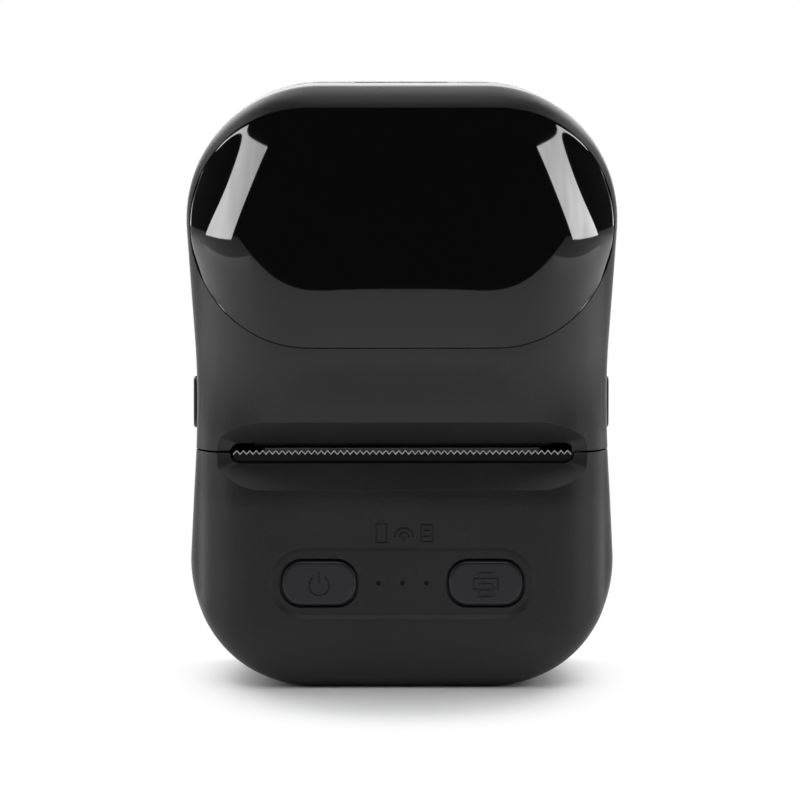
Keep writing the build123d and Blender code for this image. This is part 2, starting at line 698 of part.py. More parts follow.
with BuildPart() as platen_roller:
    with BuildSketch(side_plane(-PLATEN_LENGTH / 2)):
        with Locations((PLATEN_Y, PLATEN_Z)):
            Circle(PLATEN_RADIUS)
            Circle(SHAFT_RADIUS, mode=Mode.SUBTRACT)
    extrude(amount=PLATEN_LENGTH)
    chamfer(platen_roller.edges().filter_by(lambda e: abs(e.radius - PLATEN_RADIUS) < 0.01 if e.geom_type == GeomType.CIRCLE else False), 0.3)
platen_roller.part.label = "platen_roller"

shaft_right = OUTER_GEAR_X + OUTER_GEAR_THICK + 0.4
with BuildPart() as platen_shaft:
    with BuildSketch(side_plane(-EAR_OUTER - 0.9)):
        with Locations((PLATEN_Y, PLATEN_Z)):
            Circle(SHAFT_RADIUS)
    extrude(amount=EAR_OUTER + 0.9 + shaft_right)
    chamfer(platen_shaft.edges(), 0.2)
platen_shaft.part.label = "platen_shaft"

platen_bushes = []
for side, name in ((-1, "platen_bush_left"), (1, "platen_bush_right")):
    with BuildPart() as platen_bush:
        with BuildSketch(side_plane(side * (PLATEN_LENGTH / 2 + 0.3))):
            with Locations((PLATEN_Y, PLATEN_Z)):
                Circle(BUSH_RADIUS)
                Circle(SHAFT_RADIUS + RUNNING, mode=Mode.SUBTRACT)
        extrude(amount=side * (EAR_OUTER - PLATEN_LENGTH / 2 - 0.3))
    platen_bush.part.label = name
    platen_bushes.append(platen_bush)


# Gear train on the right side: platen gear, idler, compound gear and motor pinion.

reach = gear_distance(PLATEN_TEETH, IDLER_TEETH)
idler_y = PLATEN_Y + reach * cos(radians(IDLER_ANGLE))
idler_z = PLATEN_Z + reach * sin(radians(IDLER_ANGLE))
idler_arm = gear_distance(IDLER_TEETH, SMALL_TEETH)
motor_arm = gear_distance(LARGE_TEETH, PINION_TEETH)
span = hypot(MOTOR_Y - idler_y, MOTOR_Z - idler_z)
along = (idler_arm**2 - motor_arm**2 + span**2) / (2 * span)
aside = sqrt(idler_arm**2 - along**2)
unit_y, unit_z = (MOTOR_Y - idler_y) / span, (MOTOR_Z - idler_z) / span
compound_y = idler_y + along * unit_y - aside * unit_z
compound_z = idler_z + along * unit_z + aside * unit_y
to_compound = degrees(atan2(compound_z - idler_z, compound_y - idler_y))
to_motor = degrees(atan2(MOTOR_Z - compound_z, MOTOR_Y - compound_y))
platen_phase = IDLER_ANGLE
idler_phase = mate_phase(platen_phase, PLATEN_TEETH, IDLER_TEETH, IDLER_ANGLE)
small_phase = mate_phase(idler_phase, IDLER_TEETH, SMALL_TEETH, to_compound)
large_phase = to_motor
pinion_phase = mate_phase(large_phase, LARGE_TEETH, PINION_TEETH, to_motor)


def gear(name, x, thick, centre, teeth, phase, bore):
    """A spur gear about an axis along X, with a plain bore."""
    with BuildPart() as wheel:
        with BuildSketch(side_plane(x)):
            with Locations(centre):
                Polygon(*gear_outline(teeth, phase), align=None)
                Circle(bore, mode=Mode.SUBTRACT)
        extrude(amount=thick)
    wheel.part.label = name
    return wheel


platen_gear = gear("platen_gear", OUTER_GEAR_X, OUTER_GEAR_THICK, (PLATEN_Y, PLATEN_Z), PLATEN_TEETH, platen_phase, SHAFT_RADIUS)
idler_gear = gear("idler_gear", OUTER_GEAR_X, OUTER_GEAR_THICK, (idler_y, idler_z), IDLER_TEETH, idler_phase, STUD_RADIUS + RUNNING)
motor_pinion = gear("motor_pinion", INNER_GEAR_X, INNER_GEAR_THICK, (MOTOR_Y, MOTOR_Z), PINION_TEETH, pinion_phase, MOTOR_SHAFT_RADIUS)
with BuildPart() as compound_gear:
    with BuildSketch(side_plane(INNER_GEAR_X)):
        with Locations((compound_y, compound_z)):
            Polygon(*gear_outline(LARGE_TEETH, large_phase), align=None)
    extrude(amount=INNER_GEAR_THICK)
    with BuildSketch(side_plane(INNER_GEAR_X + INNER_GEAR_THICK)):
        with Locations((compound_y, compound_z)):
            Polygon(*gear_outline(SMALL_TEETH, small_phase), align=None)
    extrude(amount=OUTER_GEAR_X + OUTER_GEAR_THICK - INNER_GEAR_X - INNER_GEAR_THICK)
    with BuildSketch(side_plane(INNER_GEAR_X - 1)):
        with Locations((compound_y, compound_z)):
            Circle(STUD_RADIUS + RUNNING)
    extrude(amount=10, mode=Mode.SUBTRACT)
compound_gear.part.label = "compound_gear"

keeper_x = OUTER_GEAR_X + OUTER_GEAR_THICK + 0.3
keeper_thick = 0.8
studs = []
for name, centre in (("idler_stud", (idler_y, idler_z)), ("compound_stud", (compound_y, compound_z))):
    with BuildPart() as stud:
        with BuildSketch(side_plane(FRAME_SIDE_X)):
            with Locations(centre):
                Circle(STUD_RADIUS)
        extrude(amount=keeper_x + keeper_thick - FRAME_SIDE_X)
    stud.part.label = name
    studs.append(stud)

with BuildPart() as gear_keeper:
    with BuildSketch(side_plane(keeper_x)):
        with Locations((idler_y, idler_z)):
            Circle(3.2)
        with Locations((compound_y, compound_z)):
            Circle(4.2)
        polygon([(idler_y - 2.9, idler_z - 1), (idler_y + 3.1, idler_z + 1), (compound_y + 4, compound_z + 1), (compound_y - 4, compound_z - 1)])
        with Locations((idler_y, idler_z), (compound_y, compound_z)):
            Circle(STUD_RADIUS, mode=Mode.SUBTRACT)
    extrude(amount=keeper_thick)
gear_keeper.part.label = "gear_keeper"

with BuildPart() as stepper_motor:
    with BuildSketch(side_plane(FRAME_SIDE_X)):
        with Locations((MOTOR_Y, MOTOR_Z)):
            Circle(MOTOR_RADIUS)
    extrude(amount=-MOTOR_LENGTH)
    with BuildSketch(side_plane(FRAME_SIDE_X)):
        with Locations((MOTOR_Y, MOTOR_Z)):
            rounded(20, 6, 2.5)
    extrude(amount=-1)
    with BuildSketch(side_plane(FRAME_SIDE_X - MOTOR_LENGTH)):
        with Locations((MOTOR_Y, MOTOR_Z)):
            Circle(2.5)
    extrude(amount=-0.8)
    chamfer(stepper_motor.edges().filter_by(lambda e: e.geom_type == GeomType.CIRCLE and abs(e.radius - MOTOR_RADIUS) < 0.01).group_by(Axis.X)[0], 0.5)
stepper_motor.part.label = "stepper_motor"

# The pinion's own shaft turns with it, through a hole in the frame's side
with BuildPart() as motor_shaft:
    with BuildSketch(side_plane(FRAME_SIDE_X + 0.05)):
        with Locations((MOTOR_Y, MOTOR_Z)):
            Circle(MOTOR_SHAFT_RADIUS)
    extrude(amount=INNER_GEAR_X + INNER_GEAR_THICK + 0.3 - FRAME_SIDE_X - 0.05)
motor_shaft.part.label = "motor_shaft"


# Mechanism frame: a floor between two side plates, which carry the head's pin, the studs and the motor.

frame_outer = FRAME_SIDE_X + FRAME_SIDE_THICK
with BuildPart() as mechanism_frame:
    with BuildSketch(side_plane(-frame_outer)):
        polygon(
            [
                (FRAME_FRONT_Y, FRAME_FLOOR_Z),
                (FRAME_BACK_Y, FRAME_FLOOR_Z),
                (FRAME_BACK_Y, 44),
                (HEAD_PIVOT_Y + 1.8, 46.6),
                (PLATEN_Y + 4.6, 46.6),
                (PLATEN_Y + 2.0, 45.2),
                (FRAME_FRONT_Y, 45.2),
            ]
        )
    extrude(amount=2 * frame_outer)
    with BuildSketch(side_plane(FRAME_SIDE_X)):
        polygon([(FRAME_FRONT_Y, FRAME_FLOOR_Z), (MOTOR_Y - 10.5, 24), (MOTOR_Y + 9.5, 24), (FRAME_BACK_Y, FRAME_FLOOR_Z)])
        with Locations((MOTOR_Y, MOTOR_Z)):
            Circle(MOTOR_RADIUS + 0.8)
    extrude(amount=FRAME_SIDE_THICK)
    with BuildSketch(Plane.XY.offset(FRAME_TOP_OF_FLOOR)):
        Rectangle(2 * FRAME_SIDE_X, 60)
    extrude(amount=30, mode=Mode.SUBTRACT)
    # Press holes of the head's pin and the studs, the motor's shaft hole, and two frame screw holes
    with BuildSketch(side_plane(-frame_outer - 1)):
        with Locations((HEAD_PIVOT_Y, HEAD_PIVOT_Z)):
            Circle(HEAD_PIN_RADIUS)
    extrude(amount=2 * frame_outer + 2, mode=Mode.SUBTRACT)
    with BuildSketch(side_plane(FRAME_SIDE_X - 0.5)):
        with Locations((idler_y, idler_z), (compound_y, compound_z)):
            Circle(STUD_RADIUS)
        with Locations((MOTOR_Y, MOTOR_Z)):
            Circle(MOTOR_SHAFT_RADIUS + 0.4)
    extrude(amount=3, mode=Mode.SUBTRACT)
    with BuildSketch(Plane.XY.offset(FRAME_FLOOR_Z - 1)):
        with Locations(*FRAME_SCREW_PLACES):
            Circle(SCREW_CLEAR)
    extrude(amount=5, mode=Mode.SUBTRACT)
mechanism_frame.part.label = "mechanism_frame"

with BuildPart() as head_pivot_pin:
    with BuildSketch(side_plane(-frame_outer)):
        with Locations((HEAD_PIVOT_Y, HEAD_PIVOT_Z)):
            Circle(HEAD_PIN_RADIUS)
    extrude(amount=2 * frame_outer)
head_pivot_pin.part.label = "head_pivot_pin"

with BuildPart() as head_heatsink:
    with BuildSketch(side_plane(-HEAD_HALF_WIDTH)):
        polygon([(HEAD_FRONT_Y, HEATSINK_LOW_Z), (HEAD_BACK_Y + 1, HEATSINK_LOW_Z), (HEAD_BACK_Y + 1, HEATSINK_TOP_Z - 0.4), (HEAD_FRONT_Y, HEATSINK_TOP_Z)])
        polygon([(HEAD_BACK_Y, HEATSINK_LOW_Z), (HEAD_PIVOT_Y, HEAD_PIVOT_Z - 1.9), (HEAD_PIVOT_Y, HEAD_PIVOT_Z + 1.9), (HEAD_BACK_Y - 4, HEATSINK_TOP_Z - 0.3)])
        with Locations((HEAD_PIVOT_Y, HEAD_PIVOT_Z)):
            Circle(1.9)
            Circle(HEAD_PIN_RADIUS + RUNNING, mode=Mode.SUBTRACT)
    extrude(amount=2 * HEAD_HALF_WIDTH)
head_heatsink.part.label = "head_heatsink"

with BuildPart() as head_ceramic:
    with BuildSketch(front_plane(HEAD_FRONT_Y)):
        with Locations((0, HEATSINK_TOP_Z + CERAMIC_THICK / 2)):
            Rectangle(2 * HEAD_HALF_WIDTH - 1, CERAMIC_THICK)
    extrude(amount=-CERAMIC_DEPTH)
head_ceramic.part.label = "head_ceramic"

head_springs = []
for side, name in ((-1, "head_spring_left"), (1, "head_spring_right")):
    start = (side * HEAD_SPRING_X, HEAD_SPRING_Y, FRAME_TOP_OF_FLOOR + 0.3)
    head_springs.append(coil(name, start, (0, 0, 1), HEATSINK_LOW_Z - FRAME_TOP_OF_FLOOR - 0.1, 1.9, 0.25, 5))

tooth_count = int(2 * BLADE_HALF / BLADE_TOOTH_PITCH)
blade_points = [(-BLADE_HALF, 38.0), (BLADE_HALF, 38.0)]
for tooth in range(tooth_count, -1, -1):
    x = (tooth - tooth_count / 2) * BLADE_TOOTH_PITCH
    if abs(x) <= BLADE_HALF:
        blade_points.append((x, BLADE_TIP_Z - BLADE_TOOTH_DEPTH))
    if tooth:
        blade_points.append((x - BLADE_TOOTH_PITCH / 2, BLADE_TIP_Z))
blade_points[2] = (BLADE_HALF, BLADE_TIP_Z - BLADE_TOOTH_DEPTH)
blade_points[-1] = (-BLADE_HALF, BLADE_TIP_Z - BLADE_TOOTH_DEPTH)
with BuildPart() as tear_blade:
    with BuildSketch(front_plane(SLOT_BACK_Y + BLADE_THICK)):
        Polygon(*blade_points, align=None)
    extrude(amount=BLADE_THICK)
tear_blade.part.label = "tear_blade"


# Bay liner: a curved tray behind the roll, side cheeks, a rim behind the split and posts to the back.

with BuildPart() as bay_liner:
    with BuildSketch(side_plane(-TRAY_HALF_WIDTH)):
        with Locations((ROLL_Y, ROLL_Z)):
            Circle(BAY_RADIUS + TRAY_THICK)
        polygon([(9.0, 70.0), (11.4, 68.4), (4.6, 51.0), (3.0, 51.0), (0, 66)])
    extrude(amount=2 * TRAY_HALF_WIDTH)
    with BuildSketch(side_plane(-TRAY_HALF_WIDTH + TRAY_THICK)):
        with Locations((ROLL_Y, ROLL_Z)):
            Circle(BAY_RADIUS)
        polygon([(10.0, 69.0), (9.2, 70.2), (3.0, 51.0 - 1), (-6, 50), (-6, 70)])
    extrude(amount=2 * (TRAY_HALF_WIDTH - TRAY_THICK), mode=Mode.SUBTRACT)
    with BuildSketch(front_plane(BEZEL_FRONT_Y)):
        Rectangle(120, 300)
    extrude(amount=60, mode=Mode.SUBTRACT)
    # Rim behind the split
    with BuildSketch(front_plane(BEZEL_FRONT_Y)):
        add(outline(WALL + 0.6))
        with Locations((0, (BEZEL_TOP_Z + BEZEL_LOW_Z) / 2)):
            Rectangle(120, BEZEL_TOP_Z - BEZEL_LOW_Z, mode=Mode.INTERSECT)
        with Locations((0, (BEZEL_TOP_Z + BEZEL_LOW_Z) / 2 - 10)):
            Rectangle(2 * (TRAY_HALF_WIDTH - TRAY_THICK), BEZEL_TOP_Z - BEZEL_LOW_Z + 17, mode=Mode.SUBTRACT)
        for side in (-1, 1):
            with Locations((side * (ARM_INNER_X + ARM_THICK / 2), (ARM_HIGH_Z + NOSE_LOW_Z) / 2 - 0.4)):
                Rectangle(ARM_THICK + 1.0, ARM_HIGH_Z - NOSE_LOW_Z + 2.4, mode=Mode.SUBTRACT)
    extrude(amount=-1.5)
    # Posts that reach the back wall
    with BuildSketch(front_plane(BEZEL_FRONT_Y + 1)):
        for side in (-1, 1):
            with Locations((side * 33.2, 66.5), (side * 33.2, 97.5)):
                Circle(2.2)
    extrude(amount=-(INSIDE_BACK_Y - BEZEL_FRONT_Y - 1))
    # Slots for the guides' arms
    with BuildSketch(front_plane(BEZEL_FRONT_Y + 4)):
        for side in (-1, 1):
            with Locations((side * (GUIDE_REST_X + GUIDE_THICK - (GUIDE_TRAVEL + GUIDE_THICK) / 2), ROLL_Z)):
                Rectangle(GUIDE_TRAVEL + GUIDE_THICK + 0.8, 2 * GUIDE_ARM_HALF + 0.8)
    extrude(amount=-18, mode=Mode.SUBTRACT)
    # Stud of the guides' pinion
    with BuildSketch(front_plane(ROLL_Y + BAY_RADIUS + 0.5)):
        with Locations((0, ROLL_Z)):
            Circle(STUD_RADIUS)
    extrude(amount=-(RACK_Y + RACK_THICK + 0.6 - ROLL_Y - BAY_RADIUS - 0.5))
bay_liner.part.label = "bay_liner"


# Roll guides: two cheeks with spigots, on racks that one pinion moves together.

rack_pitch = pi * GEAR_MODULE
guide_pitch_radius = GEAR_MODULE * GUIDE_PINION_TEETH / 2
half_space = rack_pitch / 4 + TOOTH_SLACK
rack_line = guide_pitch_radius + CENTRE_SLACK


def rack_points(first, last, level, side):
    """Outline of a rack whose teeth point to the pinion, with a tooth centred at x = 0."""
    lean = tan(radians(PRESSURE_ANGLE)) * GEAR_MODULE
    points = []
    for tooth in range(first, last + 1):
        x = tooth * rack_pitch
        half = rack_pitch / 4 - TOOTH_SLACK
        points += [
            (x - half - 1.2 * lean, level + side * 1.2 * GEAR_MODULE),
            (x - half + lean, level - side * GEAR_MODULE),
            (x + half - lean, level - side * GEAR_MODULE),
            (x + half + 1.2 * lean, level + side * 1.2 * GEAR_MODULE),
        ]
    outer = level + side * (1.2 * GEAR_MODULE + RACK_WIDTH)
    return points + [(points[-1][0], outer), (points[0][0], outer)]


roll_guides = []
for side, name in ((-1, "roll_guide_left"), (1, "roll_guide_right")):
    with BuildPart() as roll_guide:
        with BuildSketch(side_plane(side * GUIDE_REST_X)):
            with Locations((ROLL_Y, ROLL_Z)):
                Circle(GUIDE_RADIUS)
            polygon([(ROLL_Y, ROLL_Z - GUIDE_ARM_HALF), (RACK_Y, ROLL_Z - GUIDE_ARM_HALF), (RACK_Y, ROLL_Z + GUIDE_ARM_HALF), (ROLL_Y, ROLL_Z + GUIDE_ARM_HALF)])
        extrude(amount=side * GUIDE_THICK)
        with BuildSketch(side_plane(side * GUIDE_REST_X)):
            with Locations((ROLL_Y, ROLL_Z)):
                Circle(SPIGOT_RADIUS)
        extrude(amount=-side * SPIGOT_LENGTH, taper=4)
        level = ROLL_Z + side * rack_line
        with BuildSketch(front_plane(RACK_Y)):
            Polygon(*rack_points(-2 if side > 0 else -16, 16 if side > 0 else 2, level, side), align=None)
        extrude(amount=-RACK_THICK)
        with BuildSketch(front_plane(RACK_Y - 0.4)):
            with Locations((side * (GUIDE_REST_X + GUIDE_THICK / 2), ROLL_Z + side * (rack_line + 2.8) / 2)):
                Rectangle(GUIDE_THICK, rack_line + 2.8)
        extrude(amount=-(RACK_THICK + 0.4))
    roll_guide.part.label = name
    roll_guides.append(roll_guide)

with BuildPart() as guide_pinion:
    with BuildSketch(front_plane(RACK_Y)):
        with Locations((0, ROLL_Z)):
            Polygon(*gear_outline(GUIDE_PINION_TEETH, 90 - 180 / GUIDE_PINION_TEETH), align=None)
            Circle(STUD_RADIUS + RUNNING, mode=Mode.SUBTRACT)
    extrude(amount=-RACK_THICK)
guide_pinion.part.label = "guide_pinion"

with BuildPart() as gap_sensor:
    with BuildSketch(front_plane(-0.6)):
        with Locations((8, 48.4)):
            Rectangle(7, 2.8)
    extrude(amount=-4.4)
    with BuildSketch(front_plane(3.0)):
        with Locations((8, 50.4)):
            Rectangle(5, 1.2)
    extrude(amount=-1.6)
gap_sensor.part.label = "gap_sensor"


# Latches: a cap in the side, a flange behind the wall, and a tooth that stops the lid's nose.

latches = []
latch_springs = []
latch_middle = ((LATCH_Y_FRONT + LATCH_Y_BACK) / 2, (LATCH_Z_LOW + LATCH_Z_HIGH) / 2)
cap_face = WAIST_HALF_WIDTH + 0.3 + LATCH_PROUD
flange_x = WAIST_HALF_WIDTH - WALL - 0.05
for side, name in ((-1, "latch_left"), (1, "latch_right")):
    with BuildPart() as latch:
        with BuildSketch(side_plane(side * (flange_x - 0.9))):
            with Locations(latch_middle):
                rounded(LATCH_Y_BACK - LATCH_Y_FRONT - 2 * LATCH_GAP, LATCH_Z_HIGH - LATCH_Z_LOW - 2 * LATCH_GAP, 1.6)
        extrude(amount=side * (cap_face - flange_x + 0.9))
        outside = latch.faces().sort_by(Axis.X)[-1 if side > 0 else 0]
        fillet(outside.edges(), 0.5)
        with BuildSketch(side_plane(side * (flange_x - 0.9))):
            with Locations(latch_middle):
                Rectangle(LATCH_Y_BACK - LATCH_Y_FRONT + 1.2, LATCH_Z_HIGH - LATCH_Z_LOW + 1.0)
        extrude(amount=side * 0.9)
        with BuildSketch(side_plane(side * 32.3)):
            polygon([(12.05, 49.2), (18.0, 49.2), (18.0, 50.4), (12.05, 50.4)])
        extrude(amount=side * (flange_x - 0.5 - 32.3))
        with BuildSketch(side_plane(side * 32.3)):
            polygon([(12.05, 49.2), (12.05 + TOOTH_DEPTH, 49.2), (12.05 + TOOTH_DEPTH, 53.2), (12.05, 52.4)])
        extrude(amount=side * 1.7)
    latch.part.label = name
    latches.append(latch)
    start = (side * 28.2, 19.2, latch_middle[1])
    latch_springs.append(coil(name.replace("latch", "latch_spring"), (side * 28.5, 19.2, latch_middle[1]), (side, 0, 0), flange_x - 0.9 - 28.2 - 0.1, 1.8, 0.22, 5))


# Buttons, switches, light pipes and boards behind the panel.

button_face = PANEL_FLOOR_Y - 0.35
flange_y = PANEL_INSIDE_Y + 0.05
plunger_y = BOARD_Y - SWITCH_DEPTH - 0.9
buttons = []
plungers = []
switches = []
for side, name in ((-1, "power"), (1, "feed")):
    with BuildPart() as button:
        with BuildSketch(front_plane(flange_y + BUTTON_FLANGE)):
            with Locations((side * BUTTON_X, BUTTON_Z)):
                rounded(BUTTON_LENGTH, BUTTON_HEIGHT, 3.9)
        extrude(amount=flange_y + BUTTON_FLANGE - button_face)
        fillet(button.faces().sort_by(Axis.Y)[0].edges(), BUTTON_EDGE)
        with BuildSketch(front_plane(flange_y + BUTTON_FLANGE)):
            with Locations((side * BUTTON_X, BUTTON_Z)):
                rounded(BUTTON_LENGTH + 1.8, BUTTON_HEIGHT + 1.8, 4)
        extrude(amount=BUTTON_FLANGE)
        with BuildSketch(front_plane(plunger_y)):
            with Locations((side * BUTTON_X, BUTTON_Z)):
                Circle(1.6)
        extrude(amount=plunger_y - flange_y - BUTTON_FLANGE + 0.2)
        # Engraved sign: a power ring with its stroke, or a small printer with its sheet
        with BuildSketch(front_plane(button_face + ENGRAVING)):
            if name == "power":
                with Locations((side * BUTTON_X, BUTTON_Z - 0.3)):
                    Circle(2.1)
                    Circle(2.1 - ICON_LINE, mode=Mode.SUBTRACT)
                    Rectangle(2.3, 2.2, align=(Align.CENTER, Align.MIN), mode=Mode.SUBTRACT)
                with Locations((side * BUTTON_X, BUTTON_Z + 1.2)):
                    Rectangle(ICON_LINE, 2.2)
            else:
                for width, height, rise in ((3.0, 1.4, 1.6), (5.0, 2.4, 0), (3.0, 2.8, -1.2)):
                    with Locations((side * BUTTON_X, BUTTON_Z + rise)):
                        Rectangle(width, height)
                        Rectangle(width - 2 * ICON_LINE, height - 2 * ICON_LINE, mode=Mode.SUBTRACT)
                with Locations((side * BUTTON_X, BUTTON_Z - 1.2)):
                    Rectangle(2.0, ICON_LINE)
        extrude(amount=3, mode=Mode.SUBTRACT)
    button.part.label = name + "_button"
    buttons.append(button)
    with BuildPart() as plunger:
        with BuildSketch(front_plane(plunger_y)):
            with Locations((side * BUTTON_X, BUTTON_Z)):
                Circle(1.4)
        extrude(amount=-1.4)
    plunger.part.label = name + "_plunger"
    plungers.append(plunger)
    with BuildPart() as switch:
        with BuildSketch(front_plane(BOARD_Y)):
            with Locations((side * BUTTON_X, BUTTON_Z)):
                Rectangle(SWITCH_SIZE, SWITCH_SIZE)
        extrude(amount=SWITCH_DEPTH)
        with BuildSketch(front_plane(BOARD_Y - SWITCH_DEPTH + 1.2)):
            with Locations((side * BUTTON_X, BUTTON_Z)):
                Circle(1.5)
        extrude(amount=2, mode=Mode.SUBTRACT)
    switch.part.label = name + "_switch"
    switches.append(switch)

with BuildPart() as light_pipes:
    with BuildSketch(front_plane(PANEL_INSIDE_Y + 1.1)):
        with Locations((-LIGHT_PITCH, BUTTON_Z), (0, BUTTON_Z), (LIGHT_PITCH, BUTTON_Z)):
            Circle(LIGHT_RADIUS)
    extrude(amount=PANEL_INSIDE_Y + 1.1 - PANEL_FLOOR_Y - 0.15)
    with BuildSketch(front_plane(PANEL_INSIDE_Y + 1.2)):
        with Locations((0, BUTTON_Z)):
            rounded(2 * LIGHT_PITCH + 2.4, 2.4, 1.2)
    extrude(amount=1.2)
light_pipes.part.label = "light_pipes"

with BuildPart() as status_lights:
    with BuildSketch(front_plane(BOARD_Y)):
        with Locations((-LIGHT_PITCH, BUTTON_Z), (0, BUTTON_Z), (LIGHT_PITCH, BUTTON_Z)):
            Rectangle(1.6, 1.6)
        with Locations((0, BUTTON_Z - 1.4)):
            Rectangle(2 * LIGHT_PITCH + 1.6, 1.2)
    extrude(amount=0.9)
status_lights.part.label = "status_lights"

with BuildPart() as main_board:
    with BuildSketch(front_plane(BOARD_Y)):
        with Locations((0, (BOARD_LOW_Z + BOARD_HIGH_Z) / 2)):
            rounded(2 * BOARD_HALF, BOARD_HIGH_Z - BOARD_LOW_Z, 2)
        with Locations(*boss_places):
            Circle(SCREW_RADIUS, mode=Mode.SUBTRACT)
    extrude(amount=-BOARD_THICK)
main_board.part.label = "main_board"

with BuildPart() as wireless_shield:
    with BuildSketch(front_plane(BOARD_Y + BOARD_THICK)):
        with Locations((-8, 24)):
            rounded(14, 12, 1)
    extrude(amount=-1.8)
wireless_shield.part.label = "wireless_shield"

with BuildPart() as processor:
    with BuildSketch(front_plane(BOARD_Y + BOARD_THICK)):
        with Locations((8, 17)):
            Rectangle(9, 9)
    extrude(amount=-1.1)
processor.part.label = "processor"


def screw(name, plane_at, head_thick, length, head_radius, radius):
    """A screw whose head sits on a plane and whose shank runs along the plane's normal."""
    with BuildPart() as fastener:
        with BuildSketch(plane_at):
            Circle(head_radius)
        extrude(amount=-head_thick)
        fillet(fastener.edges().filter_by(GeomType.CIRCLE).sort_by(Axis(plane_at.origin, plane_at.z_dir))[0], 0.3)
        with BuildSketch(plane_at.offset(-head_thick)):
            Rectangle(2 * head_radius - 1.6, 0.5)
            Rectangle(0.5, 2 * head_radius - 1.6)
        extrude(amount=0.7, mode=Mode.SUBTRACT)
        with BuildSketch(plane_at.offset(-0.1)):
            Circle(radius)
        extrude(amount=length + 0.1)
    fastener.part.label = name
    return fastener


board_screws = [
    screw(f"board_screw_{side}", Plane((x, BOARD_Y + BOARD_THICK, 31.6), x_dir=(1, 0, 0), z_dir=(0, -1, 0)), 1.0, 4.5, 1.8, BOARD_SCREW_RADIUS)
    for side, x in (("left", -23.6), ("right", 23.6))
]
frame_screws = [
    screw(f"frame_screw_{side}", Plane((x, y, FRAME_TOP_OF_FLOOR), x_dir=(1, 0, 0), z_dir=(0, 0, -1)), 1.2, 3.2, 2.0, SCREW_RADIUS)
    for side, (x, y) in zip(("left", "right"), FRAME_SCREW_PLACES)
]
housing_screws = []
for side, word in ((-1, "left"), (1, "right")):
    for level, (x, z) in (("upper", UPPER_POST), ("lower", LOWER_POST)):
        at = Plane((side * x, SCREW_WELL_Y, z), x_dir=(1, 0, 0), z_dir=(0, -1, 0))
        housing_screws.append(screw(f"housing_screw_{level}_{word}", at, SCREW_HEAD_THICK, SCREW_WELL_Y + 2.5, SCREW_HEAD_RADIUS, SCREW_RADIUS))

with BuildPart() as charge_board:
    with BuildSketch(front_plane(13.2)):
        with Locations((0, CHARGE_BOARD_Z + CHARGE_BOARD_THICK / 2)):
            Rectangle(22, CHARGE_BOARD_THICK)
    extrude(amount=-(INSIDE_BACK_Y - 13.4))
charge_board.part.label = "charge_board"

with BuildPart() as charge_port:
    with BuildSketch(front_plane(BACK_Y - 0.6)):
        with Locations((0, CHARGE_BOARD_Z + CHARGE_BOARD_THICK + PORT_HEIGHT / 2)):
            rounded(PORT_WIDTH, PORT_HEIGHT, 1.6)
    extrude(amount=PORT_LENGTH)
    with BuildSketch(front_plane(BACK_Y - 0.6)):
        with Locations((0, CHARGE_BOARD_Z + CHARGE_BOARD_THICK + PORT_HEIGHT / 2)):
            rounded(PORT_WIDTH - 0.6, PORT_HEIGHT - 0.6, 1.3)
            Rectangle(6.6, 0.7, mode=Mode.SUBTRACT)
    extrude(amount=6.2, mode=Mode.SUBTRACT)
charge_port.part.label = "charge_port"

with BuildPart() as battery_pack:
    with BuildSketch(front_plane(BATTERY_FRONT_Y)):
        with Locations((0, (BATTERY_LOW_Z + BATTERY_HIGH_Z) / 2)):
            rounded(2 * BATTERY_HALF, BATTERY_HIGH_Z - BATTERY_LOW_Z, 2)
    extrude(amount=-BATTERY_THICK)
battery_pack.part.label = "battery_pack"

pads = []
for side, word in ((-1, "left"), (1, "right")):
    for level, (x, z) in zip(("lower", "upper"), FOOT_PLACES):
        with BuildPart() as pad:
            with BuildSketch(front_plane(BACK_Y - FOOT_SUNK)):
                with Locations((side * x, z)):
                    Circle(FOOT_RADIUS)
            extrude(amount=-(FOOT_SUNK + FOOT_PROUD))
            fillet(pad.faces().sort_by(Axis.Y)[-1].edges(), 0.3)
        pad.part.label = f"back_pad_{level}_{word}"
        pads.append(pad)

pieces = [
    rear_housing, front_housing, lid_shell, lid_window, hinge_pin, platen_roller, platen_shaft,
    *platen_bushes, platen_gear, idler_gear, compound_gear, motor_pinion, motor_shaft, *studs,
    gear_keeper, stepper_motor, mechanism_frame, head_pivot_pin, head_heatsink, head_ceramic,
    *head_springs, tear_blade, bay_liner, *roll_guides, guide_pinion, gap_sensor, *latches,
    *latch_springs, *buttons, *plungers, *switches, light_pipes, status_lights, main_board,
    wireless_shield, processor, *board_screws, *frame_screws, *housing_screws, charge_board,
    charge_port, battery_pack, *pads,
]
os.makedirs("parts", exist_ok=True)
for piece in pieces:
    export_step(piece.part, f"parts/{piece.part.label}.step")
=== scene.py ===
# %% [markdown]
# # A portable label printer, dressed in Blender
# The solid pieces come from a CAD model and keep their places. This script gives each piece its
# finish, sets the camera where the photographer stood, and lights the table. All sizes are metres.

import json
import math

import bpy
import numpy as np
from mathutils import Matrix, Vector
from mathutils.bvhtree import BVHTree


